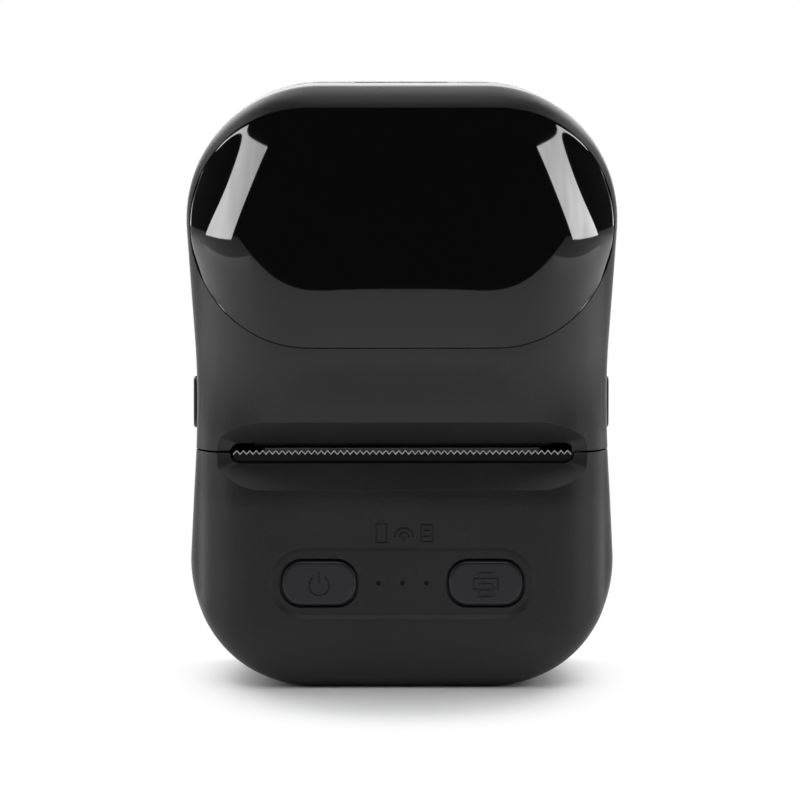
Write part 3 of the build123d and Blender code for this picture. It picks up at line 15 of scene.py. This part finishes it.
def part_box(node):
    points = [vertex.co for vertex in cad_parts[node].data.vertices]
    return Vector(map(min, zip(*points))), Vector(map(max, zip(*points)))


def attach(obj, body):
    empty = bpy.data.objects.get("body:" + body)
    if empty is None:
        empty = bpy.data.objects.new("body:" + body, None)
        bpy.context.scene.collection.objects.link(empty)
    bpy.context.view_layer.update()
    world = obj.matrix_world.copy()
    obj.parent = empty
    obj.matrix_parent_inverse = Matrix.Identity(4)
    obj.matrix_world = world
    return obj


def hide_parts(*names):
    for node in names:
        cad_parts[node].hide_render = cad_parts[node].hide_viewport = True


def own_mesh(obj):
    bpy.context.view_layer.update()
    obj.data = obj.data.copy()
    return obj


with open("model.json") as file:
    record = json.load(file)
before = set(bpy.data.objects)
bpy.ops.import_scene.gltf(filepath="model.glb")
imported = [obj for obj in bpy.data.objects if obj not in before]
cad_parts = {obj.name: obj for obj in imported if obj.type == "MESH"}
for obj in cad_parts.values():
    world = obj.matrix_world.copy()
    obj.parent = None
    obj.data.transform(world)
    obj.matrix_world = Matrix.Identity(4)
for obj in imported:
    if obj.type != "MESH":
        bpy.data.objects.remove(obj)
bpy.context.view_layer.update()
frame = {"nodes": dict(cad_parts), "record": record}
nodes = frame["nodes"]
sides = ((-1, "left"), (1, "right"))


def show(piece):
    """Puts an object into the scene."""
    bpy.context.scene.collection.objects.link(piece)
    return piece


# %% [markdown]
# ## The camera
# The photograph is a long-lens product shot: the sides of the printer hardly converge. A camera one
# metre away with a long lens gives that look. It stands a little above the printer and points
# slightly down, so the top edge shows as a thin bright band.

# %% Camera
view_azimuth = math.radians(-0.4)
view_elevation = math.radians(4.5)
view_distance = 1.0
seen_width = 0.1546
aim = Vector((-0.0004, -0.012, 0.0551))
toward_camera = Vector(
    (
        math.sin(view_azimuth) * math.cos(view_elevation),
        -math.cos(view_azimuth) * math.cos(view_elevation),
        math.sin(view_elevation),
    )
)
camera_data = bpy.data.cameras.new("photo_camera")
camera_data.sensor_width = 36
camera_data.lens = camera_data.sensor_width * view_distance / seen_width
camera_data.dof.use_dof = False
camera = bpy.data.objects.new("photo_camera", camera_data)
camera.location = aim + toward_camera * view_distance
camera.rotation_euler = (-toward_camera).to_track_quat("-Z", "Y").to_euler()
show(camera)
bpy.context.scene.camera = camera
bpy.context.scene.view_settings.view_transform = "Standard"
print("lens", round(camera_data.lens, 1), "mm")

# %% [markdown]
# ## The studio
# The printer stands on a white table. Weak even light comes from all round. What a surface mirrors
# is a separate matter: in front the room is dim, and far behind the printer hangs a white sweep,
# which makes the pale outlines of the top edge and the sides. The camera itself sees plain white.
# In the polished window the table, which ends a short way in front, is the grey band.

# %% World
world = bpy.data.worlds.new("studio_room")
world.use_nodes = True
bpy.context.scene.world = world
tree = world.node_tree
tree.nodes.clear()


def sky(strength, colour=(1, 1, 1)):
    """A background of one colour."""
    node = tree.nodes.new("ShaderNodeBackground")
    node.inputs["Color"].default_value = (*colour, 1)
    node.inputs["Strength"].default_value = strength
    return node


even_light = sky(0.27, (0.97, 0.98, 1.0))
dim_room = sky(0.05)
white_sweep = sky(4.2)
white = sky(1.0)
sweep_begins, sweep_full = 0.76, 0.97  # how far a mirrored direction points backwards, of 1
rays = tree.nodes.new("ShaderNodeLightPath")
seen = tree.nodes.new("ShaderNodeMath")
seen.operation = "MAXIMUM"
tree.links.new(rays.outputs["Is Camera Ray"], seen.inputs[0])
tree.links.new(rays.outputs["Is Transmission Ray"], seen.inputs[1])
toward = tree.nodes.new("ShaderNodeTexCoord")
parts = tree.nodes.new("ShaderNodeSeparateXYZ")
behind = tree.nodes.new("ShaderNodeMapRange")
behind.interpolation_type = "SMOOTHSTEP"
behind.inputs["From Min"].default_value = sweep_begins
behind.inputs["From Max"].default_value = sweep_full
room = tree.nodes.new("ShaderNodeMixShader")
tree.links.new(toward.outputs["Generated"], parts.inputs[0])
tree.links.new(parts.outputs["Y"], behind.inputs["Value"])
tree.links.new(behind.outputs["Result"], room.inputs[0])
tree.links.new(dim_room.outputs[0], room.inputs[1])
tree.links.new(white_sweep.outputs[0], room.inputs[2])
mirrored = tree.nodes.new("ShaderNodeMixShader")
tree.links.new(rays.outputs["Is Glossy Ray"], mirrored.inputs[0])
tree.links.new(even_light.outputs[0], mirrored.inputs[1])
tree.links.new(room.outputs[0], mirrored.inputs[2])
choose = tree.nodes.new("ShaderNodeMixShader")
tree.links.new(seen.outputs[0], choose.inputs[0])
tree.links.new(mirrored.outputs[0], choose.inputs[1])
tree.links.new(white.outputs[0], choose.inputs[2])
world_out = tree.nodes.new("ShaderNodeOutputWorld")
tree.links.new(choose.outputs[0], world_out.inputs[0])


# %% [markdown]
# ## The lamps
# A wide lamp above lights everything. Lamps at the sides give the soft bands down both flanks, two
# behind light the shoulders, and one in front and above lights the lower lip of the slot. The
# window doesn't mirror these five. Its two pale patches come from slanted boxes of their own, whose
# light falls on it alone. Light linking, further down, sets who is lit by what.


# %% Lamps
def soft_box(name, place, target, width, height, watts):
    """A rectangular lamp that looks at a target."""
    data = bpy.data.lights.new(name, "AREA")
    data.shape = "RECTANGLE"
    data.size, data.size_y = width, height
    data.energy = watts
    lamp = bpy.data.objects.new(name, data)
    lamp.location = place
    aim_line = Vector(target) - Vector(place)
    lamp.rotation_euler = aim_line.to_track_quat("-Z", "Y").to_euler()
    show(lamp)
    print(name, "at", place, watts, "W")
    return lamp


soft_box("top_lamp", (0, 0.22, 1.0), (0, 0, 0.03), 1.2, 1.0, 8.0)
shell_lamps = [
    soft_box(f"side_lamp_{word}", (side * 0.62, -0.02, 0.15), (0, 0, 0.06), 0.6, 0.5, 1.5)
    for side, word in sides
]
shell_lamps += [
    soft_box(f"rim_lamp_{word}", (side * 0.55, 0.6, 0.55), (0, 0, 0.09), 0.5, 0.5, 3.5)
    for side, word in sides
]
shell_lamps.append(soft_box("front_lamp", (0, -0.65, 0.95), (0, 0, 0.05), 0.7, 0.4, 1.7))


# %% Slanted soft boxes
def slanted_box(name, side, distance, low, high, strength):
    """A glowing four-sided sheet with a little unevenness, as stretched cloth has.

    low and high are its lower and upper edge: from and to, in degrees round from the front, and z.
    """
    corners = []
    for degrees, z in ((low[0], low[2]), (low[1], low[2]), (high[1], high[2]), (high[0], high[2])):
        turn = math.radians(degrees)
        corners.append((side * distance * math.sin(turn), -distance * math.cos(turn), z))
    mesh = bpy.data.meshes.new(name)
    mesh.from_pydata(corners, [], [(0, 1, 2, 3)])
    box = show(bpy.data.objects.new(name, mesh))
    material = bpy.data.materials.new(name)
    material.use_nodes = True
    tree = material.node_tree
    tree.nodes.clear()
    glow = tree.nodes.new("ShaderNodeEmission")
    place = tree.nodes.new("ShaderNodeTexCoord")
    cloth = tree.nodes.new("ShaderNodeTexNoise")
    cloth.inputs["Scale"].default_value = 5.0
    uneven = 0.25
    level = tree.nodes.new("ShaderNodeMapRange")
    level.inputs["From Min"].default_value = 0.3
    level.inputs["From Max"].default_value = 0.7
    level.inputs["To Min"].default_value = (1 - uneven) * strength
    level.inputs["To Max"].default_value = (1 + uneven) * strength
    output = tree.nodes.new("ShaderNodeOutputMaterial")
    tree.links.new(place.outputs["Object"], cloth.inputs["Vector"])
    tree.links.new(cloth.outputs["Fac"], level.inputs["Value"])
    tree.links.new(level.outputs["Result"], glow.inputs["Strength"])
    tree.links.new(glow.outputs[0], output.inputs["Surface"])
    mesh.materials.append(material)
    box.visible_camera = False
    box.visible_diffuse = False
    return box


window_boxes = [
    slanted_box(f"soft_box_{word}", side, 0.62, (80, 108, 0.038), (49, 73, 0.212), 10.5)
    for side, word in sides
]


# %% Table
table_half_width, table_front, table_back = 1.2, -0.34, 1.6
table_mesh = bpy.data.meshes.new("table")
table_mesh.from_pydata(
    [
        (-table_half_width, table_front, 0),
        (table_half_width, table_front, 0),
        (table_half_width, table_back, 0),
        (-table_half_width, table_back, 0),
    ],
    [],
    [(0, 1, 2, 3)],
)
table = show(bpy.data.objects.new("table", table_mesh))

# %% [markdown]
# ## How the finishes are made
# A finish that looks like one flat colour looks like a toy. Each one here gets a fine surface
# pattern, made of noise, that changes its colour, its gloss and its relief a little. The pattern is
# a node group, so that several materials share it and each sets its own size and depth.


# %% A group for fine moulded grain
def new_group(name, inputs, outputs):
    """An empty shader group with named sockets; inputs are (name, kind, default)."""
    group = bpy.data.node_groups.new(name, "ShaderNodeTree")
    for label, kind, value in inputs:
        socket = group.interface.new_socket(label, in_out="INPUT", socket_type=kind)
        socket.default_value = value
    for label, kind in outputs:
        group.interface.new_socket(label, in_out="OUTPUT", socket_type=kind)
    return group, group.nodes.new("NodeGroupInput"), group.nodes.new("NodeGroupOutput")


def noise_at(group, scale_socket, detail, coordinates, factor=1.0):
    """Noise in object coordinates, at a scale taken from a socket times a factor."""
    scaled = group.nodes.new("ShaderNodeMath")
    scaled.operation = "MULTIPLY"
    scaled.inputs[1].default_value = factor
    group.links.new(scale_socket, scaled.inputs[0])
    noise = group.nodes.new("ShaderNodeTexNoise")
    noise.inputs["Detail"].default_value = detail
    noise.inputs["Roughness"].default_value = 0.55
    group.links.new(coordinates, noise.inputs["Vector"])
    group.links.new(scaled.outputs[0], noise.inputs["Scale"])
    return noise.outputs["Fac"]


def spread_about(group, value, middle_socket, amount_socket):
    """middle + (value - 0.5) * amount, as one chain of nodes."""
    centred = group.nodes.new("ShaderNodeMath")
    centred.operation = "SUBTRACT"
    centred.inputs[1].default_value = 0.5
    group.links.new(value, centred.inputs[0])
    scaled = group.nodes.new("ShaderNodeMath")
    scaled.operation = "MULTIPLY_ADD"
    group.links.new(centred.outputs[0], scaled.inputs[0])
    group.links.new(amount_socket, scaled.inputs[1])
    group.links.new(middle_socket, scaled.inputs[2])
    return scaled.outputs[0]


grain_group, grain_in, grain_out = new_group(
    "moulded_grain",
    [
        ("Base", "NodeSocketColor", (0.02, 0.02, 0.02, 1)),
        ("Tint", "NodeSocketColor", (0.03, 0.03, 0.03, 1)),
        ("Grain Scale", "NodeSocketFloat", 2600.0),
        ("Roughness", "NodeSocketFloat", 0.5),
        ("Roughness Spread", "NodeSocketFloat", 0.1),
    ],
    [("Color", "NodeSocketColor"), ("Roughness", "NodeSocketFloat"), ("Height", "NodeSocketFloat")],
)
where = grain_group.nodes.new("ShaderNodeTexCoord")
fine = noise_at(grain_group, grain_in.outputs["Grain Scale"], 3.0, where.outputs["Object"])
broad = noise_at(grain_group, grain_in.outputs["Grain Scale"], 2.0, where.outputs["Object"], 0.02)
tint = grain_group.nodes.new("ShaderNodeMix")
tint.data_type = "RGBA"
both = grain_group.nodes.new("ShaderNodeMath")
both.operation = "MULTIPLY"
grain_group.links.new(fine, both.inputs[0])
grain_group.links.new(broad, both.inputs[1])
lifted = grain_group.nodes.new("ShaderNodeMath")
lifted.operation = "MULTIPLY"
lifted.inputs[1].default_value = 2.0
grain_group.links.new(both.outputs[0], lifted.inputs[0])
grain_group.links.new(lifted.outputs[0], tint.inputs["Factor"])
grain_group.links.new(grain_in.outputs["Base"], tint.inputs[6])
grain_group.links.new(grain_in.outputs["Tint"], tint.inputs[7])
grain_group.links.new(tint.outputs[2], grain_out.inputs["Color"])
gloss_value = spread_about(
    grain_group, broad, grain_in.outputs["Roughness"], grain_in.outputs["Roughness Spread"]
)
grain_group.links.new(gloss_value, grain_out.inputs["Roughness"])
grain_group.links.new(fine, grain_out.inputs["Height"])
print("moulded_grain has", len(grain_group.nodes), "nodes")

# %% A group for brushed or ground metal
brush_group, brush_in, brush_out = new_group(
    "drawn_metal",
    [
        ("Base", "NodeSocketColor", (0.6, 0.6, 0.6, 1)),
        ("Shade", "NodeSocketColor", (0.4, 0.4, 0.4, 1)),
        ("Line Scale", "NodeSocketFloat", 900.0),
        ("Roughness", "NodeSocketFloat", 0.3),
        ("Roughness Spread", "NodeSocketFloat", 0.2),
    ],
    [("Color", "NodeSocketColor"), ("Roughness", "NodeSocketFloat"), ("Height", "NodeSocketFloat")],
)
where = brush_group.nodes.new("ShaderNodeTexCoord")
stretch = brush_group.nodes.new("ShaderNodeMapping")
stretch.inputs["Scale"].default_value = (0.05, 1.0, 1.0)
brush_group.links.new(where.outputs["Object"], stretch.inputs["Vector"])
lines = noise_at(brush_group, brush_in.outputs["Line Scale"], 4.0, stretch.outputs["Vector"])
shade = brush_group.nodes.new("ShaderNodeMix")
shade.data_type = "RGBA"
brush_group.links.new(lines, shade.inputs["Factor"])
brush_group.links.new(brush_in.outputs["Base"], shade.inputs[6])
brush_group.links.new(brush_in.outputs["Shade"], shade.inputs[7])
brush_group.links.new(shade.outputs[2], brush_out.inputs["Color"])
gloss_value = spread_about(
    brush_group, lines, brush_in.outputs["Roughness"], brush_in.outputs["Roughness Spread"]
)
brush_group.links.new(gloss_value, brush_out.inputs["Roughness"])
brush_group.links.new(lines, brush_out.inputs["Height"])

# %% [markdown]
# ## One way to build a material
# The Principled shader stays in the material. The group feeds its colour, its roughness and a Bump
# node. Numbers that are the same all over are set on the shader's own sockets.


# %% Material builder
def finish(
    name, group, base, second, scale, roughness, spread, relief, metallic=0.0, edge=0.0, **extra
):
    """A Principled material whose colour, gloss and relief come from a shared group.

    edge is the radius, in metres, that sharp edges seem to be rounded by, so that they catch light.
    Any other value is set on the shader's socket of that name, with spaces for underscores.
    """
    material = bpy.data.materials.new(name)
    material.use_nodes = True
    tree = material.node_tree
    shader = tree.nodes["Principled BSDF"]
    pattern = tree.nodes.new("ShaderNodeGroup")
    pattern.node_tree = group
    colours = ["Base", "Tint"] if group is grain_group else ["Base", "Shade"]
    pattern.inputs[colours[0]].default_value = (*base, 1)
    pattern.inputs[colours[1]].default_value = (*second, 1)
    pattern.inputs["Grain Scale" if group is grain_group else "Line Scale"].default_value = scale
    pattern.inputs["Roughness"].default_value = roughness
    pattern.inputs["Roughness Spread"].default_value = spread
    bump = tree.nodes.new("ShaderNodeBump")
    bump.inputs["Strength"].default_value = 1.0
    bump.inputs["Distance"].default_value = relief
    tree.links.new(pattern.outputs["Color"], shader.inputs["Base Color"])
    tree.links.new(pattern.outputs["Roughness"], shader.inputs["Roughness"])
    tree.links.new(pattern.outputs["Height"], bump.inputs["Height"])
    tree.links.new(bump.outputs["Normal"], shader.inputs["Normal"])
    if edge > 0:
        rounded = tree.nodes.new("ShaderNodeBevel")
        rounded.samples = 6
        rounded.inputs["Radius"].default_value = edge
        tree.links.new(rounded.outputs["Normal"], bump.inputs["Normal"])
    shader.inputs["Metallic"].default_value = metallic
    for socket, value in extra.items():
        shader.inputs[socket.replace("_", " ")].default_value = value
    return material


def grey(level, blue=1.0):
    """A near-neutral colour."""
    return (level, level, level * blue)


# Each line: two colours, pattern scale, roughness, spread of roughness, relief in metres.
plastics = {
    "shell_plastic": (grey(0.0055, 1.1), grey(0.0150, 1.1), 2400, 0.44, 0.12, 4e-5),
    "window_plastic": (grey(0.0012), grey(0.0018), 300, 0.03, 0.01, 2e-7),
    "button_plastic": (grey(0.0060, 1.4), grey(0.0095, 1.4), 3000, 0.36, 0.06, 6e-6),
    "inner_plastic": (grey(0.010), grey(0.018), 1800, 0.6, 0.1, 2e-5),
    "gear_plastic": ((0.62, 0.60, 0.55), (0.74, 0.72, 0.68), 900, 0.45, 0.1, 1e-5),
    "pad_rubber": (grey(0.014), grey(0.024), 1500, 0.8, 0.1, 4e-5),
    "head_glaze": ((0.26, 0.245, 0.215), (0.33, 0.31, 0.28), 700, 0.18, 0.05, 2e-6),
    "bush_plastic": (grey(0.03), grey(0.05), 1500, 0.45, 0.1, 1e-5),
    "board": ((0.008, 0.06, 0.03), (0.015, 0.10, 0.05), 500, 0.35, 0.1, 1e-5),
    "chip": (grey(0.012), grey(0.02), 2500, 0.55, 0.1, 1e-5),
    # The light pipes are near black and barely shiny: painted shade, standing for the dark inside
    # the three status holes that they fill flush.
    "light_plastic": (grey(0.0006), grey(0.0012), 900, 0.12, 0.05, 2e-6),
    "battery_wrap": ((0.01, 0.015, 0.05), (0.02, 0.03, 0.09), 400, 0.3, 0.1, 1e-5),
}
metals = {
    "steel": (grey(0.62), grey(0.48), 1200, 0.25, 0.15, 4e-6),
    "frame_steel": (grey(0.10), grey(0.06), 700, 0.38, 0.2, 6e-6),
    "screw_steel": (grey(0.10), grey(0.06), 1500, 0.35, 0.15, 6e-6),
    "heatsink_metal": (grey(0.035), grey(0.02), 800, 0.4, 0.15, 8e-6),
    "brass": ((0.62, 0.44, 0.18), (0.48, 0.33, 0.12), 1200, 0.3, 0.15, 4e-6),
}
special = {
    "shell_plastic": {"edge": 0.00018, "Specular_IOR_Level": 0.42},
    "window_plastic": {"Specular_IOR_Level": 0.45},
    "button_plastic": {"edge": 0.00022, "Specular_IOR_Level": 0.5},
    "head_glaze": {"Coat_Weight": 0.5},
    "light_plastic": {"Specular_IOR_Level": 0.1},
}
finishes = {
    name: finish(name, grain_group, *values, **special.get(name, {}))
    for name, values in plastics.items()
}
for name, values in metals.items():
    finishes[name] = finish(name, brush_group, *values, metallic=1.0)
# The roller is ground rubber, so it has the lines of ground metal without the shine.
finishes["roller_rubber"] = finish(
    "roller_rubber", brush_group, grey(0.012), grey(0.024), 1500, 0.72, 0.15, 2e-5
)
print(len(finishes), "finishes")

# %% Give every solid piece its finish
slot_of = {entry["node"]: entry["material_slot"] for entry in frame["record"]["subparts"]}
for name, piece in nodes.items():
    material = finishes[slot_of[name]]
    piece.data.materials.clear()
    piece.data.materials.append(material)
print("dressed", len(slot_of), "pieces")

# %% [markdown]
# ## The table's white
# Close to the printer the table is ordinary white paint, so that it takes the printer's shadow.
# Farther out, only the camera sees it glow in plain white, as an over-lit studio table looks.

# %% Table finish
paint_ends, glow_full = 0.050, 0.082  # distances from the middle, measured in y
sideways_squeeze = 1.75  # the painted patch is that much narrower in x
table_white = bpy.data.materials.new("table_white")
table_white.use_nodes = True
tree = table_white.node_tree
paint = tree.nodes["Principled BSDF"]
paint.inputs["Base Color"].default_value = (0.84, 0.84, 0.84, 1)
paint.inputs["Roughness"].default_value = 0.6
glow = tree.nodes.new("ShaderNodeEmission")
place = tree.nodes.new("ShaderNodeTexCoord")
squeeze = tree.nodes.new("ShaderNodeMapping")
squeeze.inputs["Scale"].default_value = (sideways_squeeze, 1.0, 1.0)
distance = tree.nodes.new("ShaderNodeVectorMath")
distance.operation = "LENGTH"
fade = tree.nodes.new("ShaderNodeMapRange")
fade.interpolation_type = "SMOOTHSTEP"
fade.inputs["From Min"].default_value = paint_ends
fade.inputs["From Max"].default_value = glow_full
rays = tree.nodes.new("ShaderNodeLightPath")
far_and_seen = tree.nodes.new("ShaderNodeMath")
far_and_seen.operation = "MULTIPLY"
mix = tree.nodes.new("ShaderNodeMixShader")
tree.links.new(place.outputs["Object"], squeeze.inputs["Vector"])
tree.links.new(squeeze.outputs["Vector"], distance.inputs[0])
tree.links.new(distance.outputs["Value"], fade.inputs["Value"])
tree.links.new(fade.outputs["Result"], far_and_seen.inputs[0])
tree.links.new(rays.outputs["Is Camera Ray"], far_and_seen.inputs[1])
tree.links.new(far_and_seen.outputs[0], mix.inputs[0])
tree.links.new(paint.outputs[0], mix.inputs[1])
tree.links.new(glow.outputs[0], mix.inputs[2])
tree.links.new(mix.outputs[0], tree.nodes["Material Output"].inputs["Surface"])
table.data.materials.append(table_white)

# %% [markdown]
# ## The window
# The real window is one polished moulding, so the lamps draw clean shapes in it. The solid model's
# facets would break those shapes at the steep ends. This mesh is a fine grid whose points are cast
# onto the solid window from the front. One smooth sheet, flat in the middle and turned round an arc
# at both ends, is then fitted through them all. What the rim still differs from the solid is evened
# and spread smoothly over the inside, so the rim stays close to its seat. Solidify and Bevel make
# it a solid pane.

# %% Window mesh
window_low, window_high = (Vector(corner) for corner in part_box("lid_window"))
window_middle = (window_high.z + window_low.z) / 2
end_radius = (window_high.z - window_low.z) / 2
half_length = (window_high.x - window_low.x) / 2
rows, columns = 72, 160
flat_half, flat_fades, turn_radius = 0.015, 0.006, 0.028
pane_thickness, rim_width, back_set = 0.0013, 0.00018, 0.00003
near_rim = (0.972, 0.986)  # where depths are cast, as shares of the way to the rim
rim_turns, inside_turns = 12, 4000
solid_mesh = nodes["lid_window"].data
solid_tree = BVHTree.FromPolygons(
    [vertex.co for vertex in solid_mesh.vertices],
    [tuple(face.vertices) for face in solid_mesh.polygons],
)


def depth_at(x, z, shrink):
    """Y where a ray from the front meets the solid window, at a point moved towards the middle."""
    for step in range(40):
        share = shrink - 0.002 * step
        moved_z = window_middle + (z - window_middle) * share
        start = Vector((x * share, window_low.y - 0.05, moved_z))
        place = solid_tree.ray_cast(start, Vector((0, 1, 0)))[0]
        if place is not None:
            return place.y
    return window_low.y


def rim_point(angle):
    """X and height over the middle, on the end arc of the rim that an angle points to."""
    shift = math.copysign(half_length - end_radius, math.cos(angle))
    return np.array((end_radius * math.cos(angle) + shift, end_radius * math.sin(angle)))


def long_side(share, sign):
    """The upper or lower rim between the 45 degree points: arc, straight, arc, at an even pace."""
    arc = end_radius * math.pi / 4
    straight = 2 * (half_length - end_radius)
    along = share * (2 * arc + straight)
    if along < arc:
        return rim_point(sign * (math.pi * 3 / 4 - along / end_radius))
    if along > arc + straight:
        return rim_point(sign * (math.pi / 2 - (along - arc - straight) / end_radius))
    return np.array((along - arc - straight / 2, sign * end_radius))


# The grid lies between the four pieces of rim, as a patch stretched between its four edges does.
grid_x, grid_y, grid_z = (np.empty((rows + 1, columns + 1)) for axis in range(3))
low_left, high_left = rim_point(-math.pi * 3 / 4), rim_point(math.pi * 3 / 4)
low_right, high_right = rim_point(-math.pi / 4), rim_point(math.pi / 4)
for row in range(rows + 1):
    up = row / rows
    left_end = rim_point(math.pi * (5 - 2 * up) / 4)
    right_end = rim_point(math.pi * (2 * up - 1) / 4)
    for column in range(columns + 1):
        over = column / columns
        between_long = (1 - up) * long_side(over, -1) + up * long_side(over, 1)
        between_ends = (1 - over) * left_end + over * right_end
        corners = (1 - up) * ((1 - over) * low_left + over * low_right) + up * (
            (1 - over) * high_left + over * high_right
        )
        x, rise = between_long + between_ends - corners
        grid_x[row, column], grid_z[row, column] = x, window_middle + rise
        # A ray misses at the very rim, so the depth is carried on from two points inside it.
        inner, nearer = (depth_at(x, window_middle + rise, share) for share in near_rim)
        grid_y[row, column] = nearer + (nearer - inner)
upwards = (grid_z - window_middle) / end_radius
past_flat = np.abs(grid_x) - flat_half
past_flat = (past_flat + np.sqrt(past_flat**2 + flat_fades**2)) / 2
turned_side = turn_radius - np.sqrt(turn_radius**2 - past_flat**2)
shapes = (1, grid_x**2, turned_side)
terms = np.stack([shape * upwards**power for shape in shapes for power in range(4)], axis=-1)
terms = terms.reshape(grid_y.size, -1)
weights = np.linalg.lstsq(terms, grid_y.reshape(-1), rcond=None)[0]
sheet_y = (terms @ weights).reshape(grid_y.shape)
# What is left over: evened along the rim, then spread over the inside until it settles.
rest = grid_y - sheet_y
for turn in range(rim_turns):
    for line in (rest[:, 0], rest[:, -1], rest[0], rest[-1]):
        line[:] = np.convolve(np.pad(line, 1, mode="edge"), (0.25, 0.5, 0.25), mode="valid")
rest[1:-1, 1:-1] = 0.0
for turn in range(inside_turns):
    rest[1:-1, 1:-1] = (rest[:-2, 1:-1] + rest[2:, 1:-1] + rest[1:-1, :-2] + rest[1:-1, 2:]) / 4
smooth_y = sheet_y + rest
print("window leaves the solid by", round(1000 * float(np.abs(smooth_y - grid_y).max()), 2), "mm")
points = np.stack([grid_x, smooth_y + back_set, grid_z], axis=-1).reshape(-1, 3)
quads = []
for row in range(rows):
    for column in range(columns):
        corner = row * (columns + 1) + column
        quads.append((corner, corner + 1, corner + columns + 2, corner + columns + 1))
window_mesh = bpy.data.meshes.new("roll_window")
window_mesh.from_pydata(points.tolist(), [], quads)
window_mesh.polygons.foreach_set("use_smooth", [True] * len(quads))
window = show(bpy.data.objects.new("roll_window", window_mesh))
thicken = window.modifiers.new("thickness", "SOLIDIFY")
thicken.thickness = pane_thickness
thicken.offset = -1
rim = window.modifiers.new("rim", "BEVEL")
rim.width = rim_width
rim.segments = 2
rim.limit_method = "ANGLE"
rim.angle_limit = math.radians(50)
window_mesh.materials.append(finishes["window_plastic"])
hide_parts("lid_window")
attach(window, "lid")
print("window", len(points), "points")

# %% The wide lamps light only the shell, and the slanted boxes only the window
only_window = bpy.data.collections.new("only_window")
only_window.objects.link(window)
for box in window_boxes:
    box.light_linking.receiver_collection = only_window
all_but_window = bpy.data.collections.new("all_but_window")
all_but_window.objects.link(window)
all_but_window.collection_objects[0].light_linking.link_state = "EXCLUDE"
for lamp in shell_lamps:
    lamp.light_linking.receiver_collection = all_but_window
print(len(shell_lamps), "lamps for the shell and", len(window_boxes), "boxes for the window")

# %% [markdown]
# ## The springs
# Four coil springs are pressed shorter on the real printer as a release button or the print head
# moves. Here each is a copy of its solid coil, carried with the base, and keeps its shape.


def pressed_coil(name):
    """A copy of a solid coil, put in place of the solid one and carried with the base."""
    coil = show(bpy.data.objects.new(f"{name}_coil", nodes[name].data.copy()))
    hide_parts(name)
    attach(coil, "base")
    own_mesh(coil)


for side, word in sides:
    low, high = (Vector(corner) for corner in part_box(f"latch_spring_{word}"))
    inner_end = (low + high) / 2
    inner_end.x = high.x if side < 0 else low.x
    pressed_coil(
        f"latch_spring_{word}"
    )
    low, high = (Vector(corner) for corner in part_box(f"head_spring_{word}"))
    foot = (low + high) / 2
    foot.z = low.z
    pressed_coil(f"head_spring_{word}")

# %% [markdown]
# ## The tear blade
# The blade is blackened sheet steel with saw teeth. The bright line along the teeth is a painted
# highlight, in the same material: a triangle wave of x gives the height of the tooth edge, and a
# bright colour is painted only just under it, where the edge catches the light.

# %% Blade finish
# The last number is how far under the tooth edge the painted highlight reaches.
tooth_pitch, tooth_depth, glint_band_width = 0.00125, 0.0007, 0.00022
blade_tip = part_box("tear_blade")[1][2]
blade_finish = finish(
    "blade_steel", brush_group, grey(0.03), grey(0.015), 1400, 0.35, 0.2, 4e-6, metallic=1.0
)
tree = blade_finish.node_tree
shader = tree.nodes["Principled BSDF"]
pattern = next(node for node in tree.nodes if node.type == "GROUP")
place = tree.nodes.new("ShaderNodeTexCoord")
split = tree.nodes.new("ShaderNodeSeparateXYZ")
wave = tree.nodes.new("ShaderNodeMath")
wave.operation = "PINGPONG"
wave.inputs[1].default_value = tooth_pitch / 2
height = tree.nodes.new("ShaderNodeMath")
height.operation = "MULTIPLY_ADD"
height.inputs[1].default_value = 2 * tooth_depth / tooth_pitch
height.inputs[2].default_value = blade_tip - tooth_depth
under = tree.nodes.new("ShaderNodeMath")
under.operation = "SUBTRACT"
edge = tree.nodes.new("ShaderNodeMapRange")
edge.inputs["From Min"].default_value = glint_band_width * 1.3
edge.inputs["From Max"].default_value = glint_band_width
# Painted highlight: a bright metal colour just under the tooth edge stands for the glint of the
# teeth.
painted_glint = tree.nodes.new("ShaderNodeMix")
painted_glint.data_type = "RGBA"
painted_glint.inputs[7].default_value = (0.75, 0.75, 0.73, 1)
tree.links.new(place.outputs["Object"], split.inputs[0])
tree.links.new(split.outputs["X"], wave.inputs[0])
tree.links.new(wave.outputs[0], height.inputs[0])
tree.links.new(height.outputs[0], under.inputs[0])
tree.links.new(split.outputs["Z"], under.inputs[1])
tree.links.new(under.outputs[0], edge.inputs["Value"])
tree.links.new(edge.outputs["Result"], painted_glint.inputs["Factor"])
tree.links.new(pattern.outputs["Color"], painted_glint.inputs[6])
tree.links.new(painted_glint.outputs[2], shader.inputs["Base Color"])
nodes["tear_blade"].data.materials.clear()
nodes["tear_blade"].data.materials.append(blade_finish)
